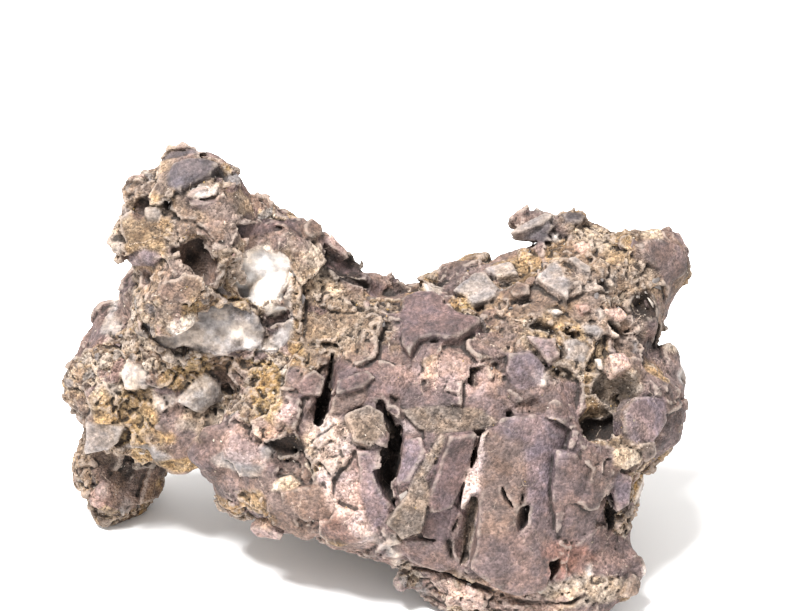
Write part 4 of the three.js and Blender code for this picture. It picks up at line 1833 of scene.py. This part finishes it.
# The grey, white and ochre ground on the left
LEFT_SIDE = (
    Fragment(Rock.GREY, ((140, 325), (152, 314), (188, 306), (222, 301), (240, 308), (260, 317), (268, 331),
                         (258, 346), (232, 352), (205, 353), (188, 349), (165, 346), (150, 340)), 0.01, 8, 0,
             (8, 0), rough=1.4, cover=0.9),
    Fragment(Rock.QUARTZ, ((152, 320), (190, 310), (224, 306), (250, 320), (260, 332), (248, 344), (222, 347),
                           (192, 345), (160, 338)), 0, 8, rough=3.0, cover=0.85, stain=True),
    Fragment(Rock.QUARTZ, ((117, 374), (127, 363), (140, 364), (150, 372), (144, 384), (126, 387)), 0.5, 5,
             0.6, rough=1.3, cover=0.8),
    Fragment(Rock.QUARTZ, ((174, 405), (186, 394), (205, 378), (222, 386), (224, 396), (211, 405), (203, 416),
                           (188, 409)), 0.5, 6, 0.8, rough=1.3, cover=0.8),
    Fragment(Rock.GREY, ((86, 424), (111, 424), (123, 428), (117, 443), (106, 451), (84, 455)), 1.6, 6, 0.6),
    Fragment(Rock.PINK, ((87, 494), (94, 490), (102, 492), (105, 500), (101, 509), (93, 511), (86, 506)),
             1.8, 6, 1.6),
    Fragment(Rock.GREY, ((258, 447), (268, 443), (274, 452), (268, 461), (259, 458)), 0.5, 4, 0.6),
    Fragment(Rock.CREAM, ((279, 478), (289, 474), (300, 484), (292, 490), (270, 490)), 1.0, 4),
    Fragment(Rock.PINK, ((276, 416), (289, 402), (295, 408), (288, 421), (279, 421)), 1.0, 5),
    Fragment(Rock.PINK, ((246, 528), (264, 529), (282, 537), (279, 541), (256, 537)), 1.0, 5),
    Fragment(Rock.MILKY, ((166, 324), (182, 316), (202, 319), (214, 327), (204, 336), (184, 338)), 0, 6,
             rough=3.0, cover=0.45, stain=True),
    Fragment(Rock.MILKY, ((227, 326), (244, 321), (256, 330), (246, 341), (229, 339)), 0, 6, rough=3.0,
             cover=0.5, stain=True),
    Fragment(Rock.BROWN, ((279, 492), (318, 484), (336, 502), (328, 517), (305, 523), (281, 511)), 0.8, 6),
    # Painted shadow deep in the cave.
    Fragment(Rock.SHADOW, ((186, 250), (204, 246), (210, 264), (201, 281), (188, 273)), 0, 8, rough=1.5,
             cover=0.7, stain=True),
)

# The blocks and the open cracks in the middle
MIDDLE = (
    Fragment(Rock.PLUM, ((293, 385), (314, 369), (324, 376), (320, 394), (301, 395)), 1.6, 8, cover=0.6),
    Fragment(Rock.PLUM, ((335, 378), (367, 369), (376, 376), (363, 387), (335, 394)), 2.0, 8, 0, (10, 0),
             cover=0.6),
    Fragment(Rock.BROWN, ((328, 413), (334, 395), (367, 388), (363, 404), (344, 412)), 1.2, 8),
    Fragment(Rock.VEIN, ((306, 431), (328, 415), (353, 427), (355, 447), (338, 466), (320, 455)), 0, 6,
             rough=1.5, cover=0.6, stain=True),
    Fragment(Rock.VEIN, ((318, 466), (342, 462), (352, 490), (372, 530), (360, 545), (340, 510), (322, 486)),
             0, 6, rough=1.5, cover=0.5, stain=True),
    Fragment(Rock.GRANULAR, ((346, 414), (367, 404), (382, 412), (386, 431), (371, 447), (353, 440)), 1.2, 8),
    Fragment(Rock.LILAC, ((356, 450), (372, 450), (377, 478), (388, 512), (374, 530), (360, 500)), 1.0, 8),
    Fragment(Rock.VEIN, ((381, 392), (392, 407), (405, 421), (417, 433), (402, 430), (388, 411)), 1.6, 5),
    Fragment(Rock.LILAC, ((402, 440), (419, 436), (423, 450), (407, 479), (396, 487), (393, 481), (399, 462)),
             1.6, 9),
    Fragment(Rock.GRANULAR, ((440, 434), (448, 436), (424, 477), (430, 492), (420, 533), (401, 541),
                             (386, 523), (399, 504), (411, 483), (423, 462)), 1.2, 8),
    Fragment(Rock.PLUM, ((449, 436), (477, 434), (467, 468), (460, 492), (452, 508), (430, 512), (430, 492),
                         (440, 467)), 1.4, 9, cover=0.6),
    Fragment(Rock.PLUM, ((428, 514), (452, 512), (446, 529), (448, 543), (423, 537)), 0.6, 8),
    Fragment(Rock.MAUVE, ((392, 545), (415, 540), (450, 547), (466, 566), (440, 574), (410, 562)), 1.0, 8),
    Fragment(Rock.VEIN, ((481, 434), (488, 430), (481, 492), (470, 494), (462, 512), (458, 508), (467, 471),
                         (475, 458)), 0.6, 6),
    Fragment(Rock.VEIN, ((478, 494), (482, 494), (473, 562), (469, 562)), 0.6, 6),
    Fragment(Rock.GRANULAR, ((400, 408), (440, 405), (482, 410), (505, 424), (450, 433), (418, 430)), 1.2,
             7, 0, (8, 0)),
)

# The smooth face on the right
FACE = (
    Fragment(Rock.MAUVE, ((489, 434), (504, 419), (533, 416), (553, 420), (570, 430), (564, 452), (556, 470),
                          (552, 510), (556, 530), (560, 560), (548, 592), (520, 598), (492, 585), (472, 570),
                          (480, 540), (481, 500)), 1.2, 9, 2.4, rough=0.7),
    Fragment(Rock.MAUVE, ((558, 452), (577, 455), (590, 470), (580, 500), (556, 512), (553, 490)), 0.3, 8,
             1.0),
    Fragment(Rock.LILAC, ((490, 428), (504, 418), (533, 416), (551, 419), (572, 427), (577, 448), (560, 456),
                          (532, 450), (492, 446)), 0, 8, cover=0.7, stain=True),
    Fragment(Rock.BROWN, ((489, 436), (530, 448), (528, 480), (520, 505), (524, 520), (500, 530), (480, 530),
                          (481, 500)), 0, 9, cover=0.8, stain=True),
    Fragment(Rock.LILAC, ((529, 455), (553, 450), (556, 467), (547, 512), (529, 525), (528, 483)), 0, 9,
             cover=0.9, stain=True),
    Fragment(Rock.RED, ((520, 545), (575, 540), (590, 552), (584, 570), (556, 580), (530, 566)), 0, 7,
             rough=1.5, cover=0.6, stain=True),
    Fragment(Rock.LILAC, ((616, 473), (632, 477), (630, 504), (618, 512), (613, 496)), 1.6, 7),
    Fragment(Rock.LILAC, ((626, 411), (636, 395), (664, 396), (669, 421), (655, 441), (636, 442), (626, 432)),
             1.4, 8, 0.8),
    Fragment(Rock.CREAM, ((614, 452), (624, 446), (642, 452), (644, 463), (628, 470), (616, 465)), 2.0, 7,
             1.0),
    Fragment(Rock.BROWN, ((628, 582), (636, 571), (644, 582), (640, 595), (626, 597)), 1.6, 7, 1.0),
)

# The chips on the plateau
PLATEAU = (
    Fragment(Rock.PLUM, ((400, 296), (419, 287), (433, 288), (443, 301), (456, 308), (480, 314), (480, 320),
                         (456, 334), (444, 336), (433, 332), (419, 336), (408, 350), (400, 340)), 3.0, 5, 0.8,
             (22, 0), cover=0.85),
    Fragment(Rock.GREY, ((452, 289), (474, 272), (484, 272), (500, 287), (495, 295), (471, 303), (465, 295)),
             2.2, 6, 0, (10, 6)),
    Fragment(Rock.GREY, ((484, 268), (508, 260), (518, 271), (497, 275)), 1.2, 5, 0, (8, 0)),
    Fragment(Rock.GREY, ((534, 276), (555, 260), (569, 281), (567, 295), (549, 285)), 1.8, 6, 0, (6, 8)),
    Fragment(Rock.GREY, ((567, 256), (575, 254), (590, 264), (590, 270), (580, 268)), 1.8, 5),
    Fragment(Rock.TAN, ((590, 264), (600, 256), (611, 262), (602, 272)), 1.6, 5),
    Fragment(Rock.BROWN, ((510, 291), (516, 280), (528, 283), (530, 293), (516, 297)), 2.0, 5),
    # A recess painted with the shadow colour inside.
    Fragment(Rock.SHADOW, ((514, 300), (530, 295), (534, 300), (520, 305)), -0.5, 4),
    Fragment(Rock.WHITE, ((549, 309), (557, 308), (563, 312), (555, 316)), 1.2, 4),
    Fragment(Rock.RED, ((578, 305), (588, 303), (592, 310), (582, 314)), 1.2, 4),
    Fragment(Rock.PINK, ((605, 309), (621, 306), (629, 316), (621, 322), (611, 316)), 1.4, 4),
    Fragment(Rock.GREY, ((596, 309), (602, 307), (605, 316), (600, 320)), 1.2, 4),
    Fragment(Rock.GREY, ((582, 325), (596, 324), (602, 330), (600, 336), (586, 332)), 1.8, 4),
    Fragment(Rock.WHITE, ((610, 324), (617, 322), (623, 336), (615, 338)), 1.4, 4),
    Fragment(Rock.GREY, ((631, 341), (636, 340), (638, 349), (634, 351)), 1.2, 4),
    Fragment(Rock.WHITE, ((594, 359), (602, 357), (603, 369), (598, 369)), 1.0, 4),
    Fragment(Rock.LILAC, ((524, 334), (555, 336), (559, 353), (547, 363), (536, 347)), 2.0, 6, 0, (10, 0)),
    Fragment(Rock.LILAC, ((508, 352), (530, 350), (545, 366), (540, 384), (518, 388), (506, 370)), 1.0, 6,
             0.6),
    Fragment(Rock.GREY, ((560, 340), (575, 335), (590, 348), (584, 362), (566, 358)), 1.0, 5),
    Fragment(Rock.PINK, ((608, 352), (625, 350), (632, 366), (615, 372)), 1.0, 5),
    Fragment(Rock.SLATE, ((510, 237), (524, 229), (544, 221), (552, 225), (546, 235), (556, 242), (536, 240)),
             2.6, 5),
    Fragment(Rock.GREY, ((510, 231), (524, 222), (544, 212), (553, 213), (544, 221), (524, 229)), 2.8, 5, 0,
             (30, 0)),
    Fragment(Rock.SLATE, ((561, 212), (571, 210), (586, 215), (580, 221), (565, 221)), 2.4, 5),
    Fragment(Rock.WHITE, ((551, 235), (557, 233), (560, 240), (554, 241)), 1.2, 4),
    Fragment(Rock.PINK, ((573, 242), (584, 239), (590, 246), (582, 253), (575, 247)), 1.4, 5),
    Fragment(Rock.CREAM, ((642, 234), (650, 226), (661, 226), (662, 237), (650, 240)), 1.4, 5, 0.6),
    Fragment(Rock.MAUVE, ((640, 243), (658, 238), (681, 243), (689, 256), (689, 270), (679, 278), (668, 284),
                          (660, 270), (644, 256)), 1.6, 8, 0.8),
)

# Open cracks, slots and recesses; the slots are painted with the shadow colour inside
RECESSES = (
    slot(13, (383, 398), (390, 412), (398, 428), (403, 440), (399, 458), (395, 470), (392, 487),
         (397, 510), (386, 497), (378, 478), (376, 464), (382, 448), (387, 430), (382, 412)),
    slot(5, (390, 396), (399, 398), (396, 405)),
    slot(10, (331, 352), (334, 352), (333, 375), (330, 394), (325, 414), (320, 426), (311, 424),
         (315, 408), (321, 394), (327, 375)),
    slot(7, (474, 436), (479, 435), (470, 463), (466, 471), (467, 460)),
    Fragment(Rock.GRANULAR, ((471, 495), (477, 496), (478, 504), (469, 560), (459, 564), (462, 537),
                             (467, 512)), -0.4, 3.5),
    slot(6, (450, 530), (459, 514), (457, 525), (452, 535)),
    slot(4, (446, 540), (450, 537), (454, 560), (448, 560)),
    slot(5, (502, 487), (506, 493), (516, 504), (514, 507), (504, 496)),
    slot(5, (525, 479), (527, 488), (523, 502), (518, 507), (522, 490)),
    slot(5, (520, 506), (529, 504), (528, 522), (521, 529), (519, 514)),
    slot(4, (494, 546), (504, 545), (504, 562), (498, 556)),
    slot(3.5, (545, 558), (557, 556), (560, 564), (547, 583)),
    slot(8, (608, 479), (616, 477), (614, 504), (608, 508), (606, 496)),
    slot(8, (607, 516), (617, 513), (613, 529), (606, 533)),
    slot(6, (626, 512), (631, 514), (630, 529), (623, 535)),
    slot(7, (468, 367), (476, 367), (475, 386), (470, 382)),
    slot(4, (504, 412), (511, 411), (513, 419), (507, 422)),
    slot(4, (367, 443), (373, 431), (372, 440), (369, 447)),
    slot(5, (565, 332), (572, 330), (578, 338), (570, 342)),
    slot(5, (557, 345), (563, 342), (566, 356), (560, 362)),
    slot(4, (524, 322), (540, 318), (556, 326), (562, 336), (548, 333), (534, 328)),
    slot(3, (604, 318), (612, 320), (628, 336), (622, 338), (610, 330)),
    slot(3, (596, 283), (604, 280), (612, 288), (606, 291)),
    slot(5, (655, 322), (661, 324), (661, 352), (655, 350)),
    slot(6, (633, 291), (652, 293), (660, 301), (658, 318), (650, 318), (629, 305)),
    Fragment(Rock.BROWN, ((411, 564), (448, 570), (483, 585), (520, 599), (566, 601), (592, 590), (593, 594),
                          (566, 606), (520, 605), (483, 591), (448, 576), (411, 569)), -0.3, 1.6),
)

# Where the chips lie thick
LITTER = (
    Litter((590, 290), (34, 24, 22)),
    Litter((190, 190), (12, 12, 12)),
    Litter((300, 270), (8, 8, 8)),
    Litter((120, 330), (10, 10, 9)),
    Litter((630, 540), (7, 8, 12)),
)

CHIPS = Strewn(
    "chips",
    StrewnFinish("chip_rock", (
        srgb(104, 98, 95), srgb(90, 84, 82), srgb(122, 114, 108), srgb(88, 74, 71),
        srgb(146, 136, 127), srgb(98, 84, 72), srgb(74, 66, 63), srgb(118, 95, 88),
        srgb(102, 87, 84), srgb(112, 98, 84),
    )),
    count_per_cm2=6.0, smallest=1.8, largest=7.0, sink=0.3, flatness=0.36, corners=10, seed=7, gathered=1.0,
    rareness=1.4,
)

GRAINS = Strewn(
    "grains",
    StrewnFinish("grain_sand", (
        srgb(118, 106, 90), srgb(100, 86, 71), srgb(142, 131, 118), srgb(82, 68, 58),
        srgb(126, 102, 64), srgb(109, 97, 85), srgb(60, 49, 42), srgb(154, 144, 133),
    )),
    count_per_cm2=14.0, smallest=0.5, largest=1.5, sink=0.1, flatness=0.8, corners=7, seed=9, gathered=0.0,
)


def finish_piece(piece: bpy.types.Object) -> None:
    """Hands a piece to the frame and reports it.

    Args:
        piece: The finished piece.
    """
    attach(piece, "root")
    piece.data.calc_loop_triangles()
    log.info("%s: %d triangles", piece.name, len(piece.data.loop_triangles))


def joined_copy(pieces: list[bpy.types.Object]) -> bpy.types.Object:
    """Joins copies of some pieces into one carrier.

    Args:
        pieces: The pieces, which stay as they are.

    Returns:
        The carrier, not linked to the scene.
    """
    carrier = bpy.data.objects.new("carrier", bpy.data.meshes.new("carrier"))
    work = bmesh.new()
    for piece in pieces:
        work.from_mesh(piece.data)
    work.to_mesh(carrier.data)
    work.free()
    return carrier


def main() -> None:
    """Builds the stone and the studio, and reports each piece."""
    logging.basicConfig(level=logging.INFO, format="%(message)s")
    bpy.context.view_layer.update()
    camera = PhotoCamera()
    camera.build()
    Studio().build()
    ground = Ground(frame["nodes"][NODE], camera)
    rocks = RockMap(ground, PATCHES, DRIFTS)
    break_up = BreakUp()
    fragments = (*LEFT_SIDE, *TOWER, *PLATEAU, *MIDDLE, *FACE, *RECESSES)
    body = StoneBody(ground, rocks, break_up, fragments, PITS, LITTER).build()
    breccia = BrecciaFinish(break_up).build()
    for block in body:
        block.data.materials.clear()
        block.data.materials.append(breccia)
    carrier = joined_copy(body)
    strewn = [kind.build(carrier) for kind in (CHIPS, GRAINS)]
    bpy.data.objects.remove(carrier)
    for block in body:
        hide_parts(NODE)
    for piece in (*body, *strewn):
        finish_piece(piece)


if __name__ == "__main__":
    main()
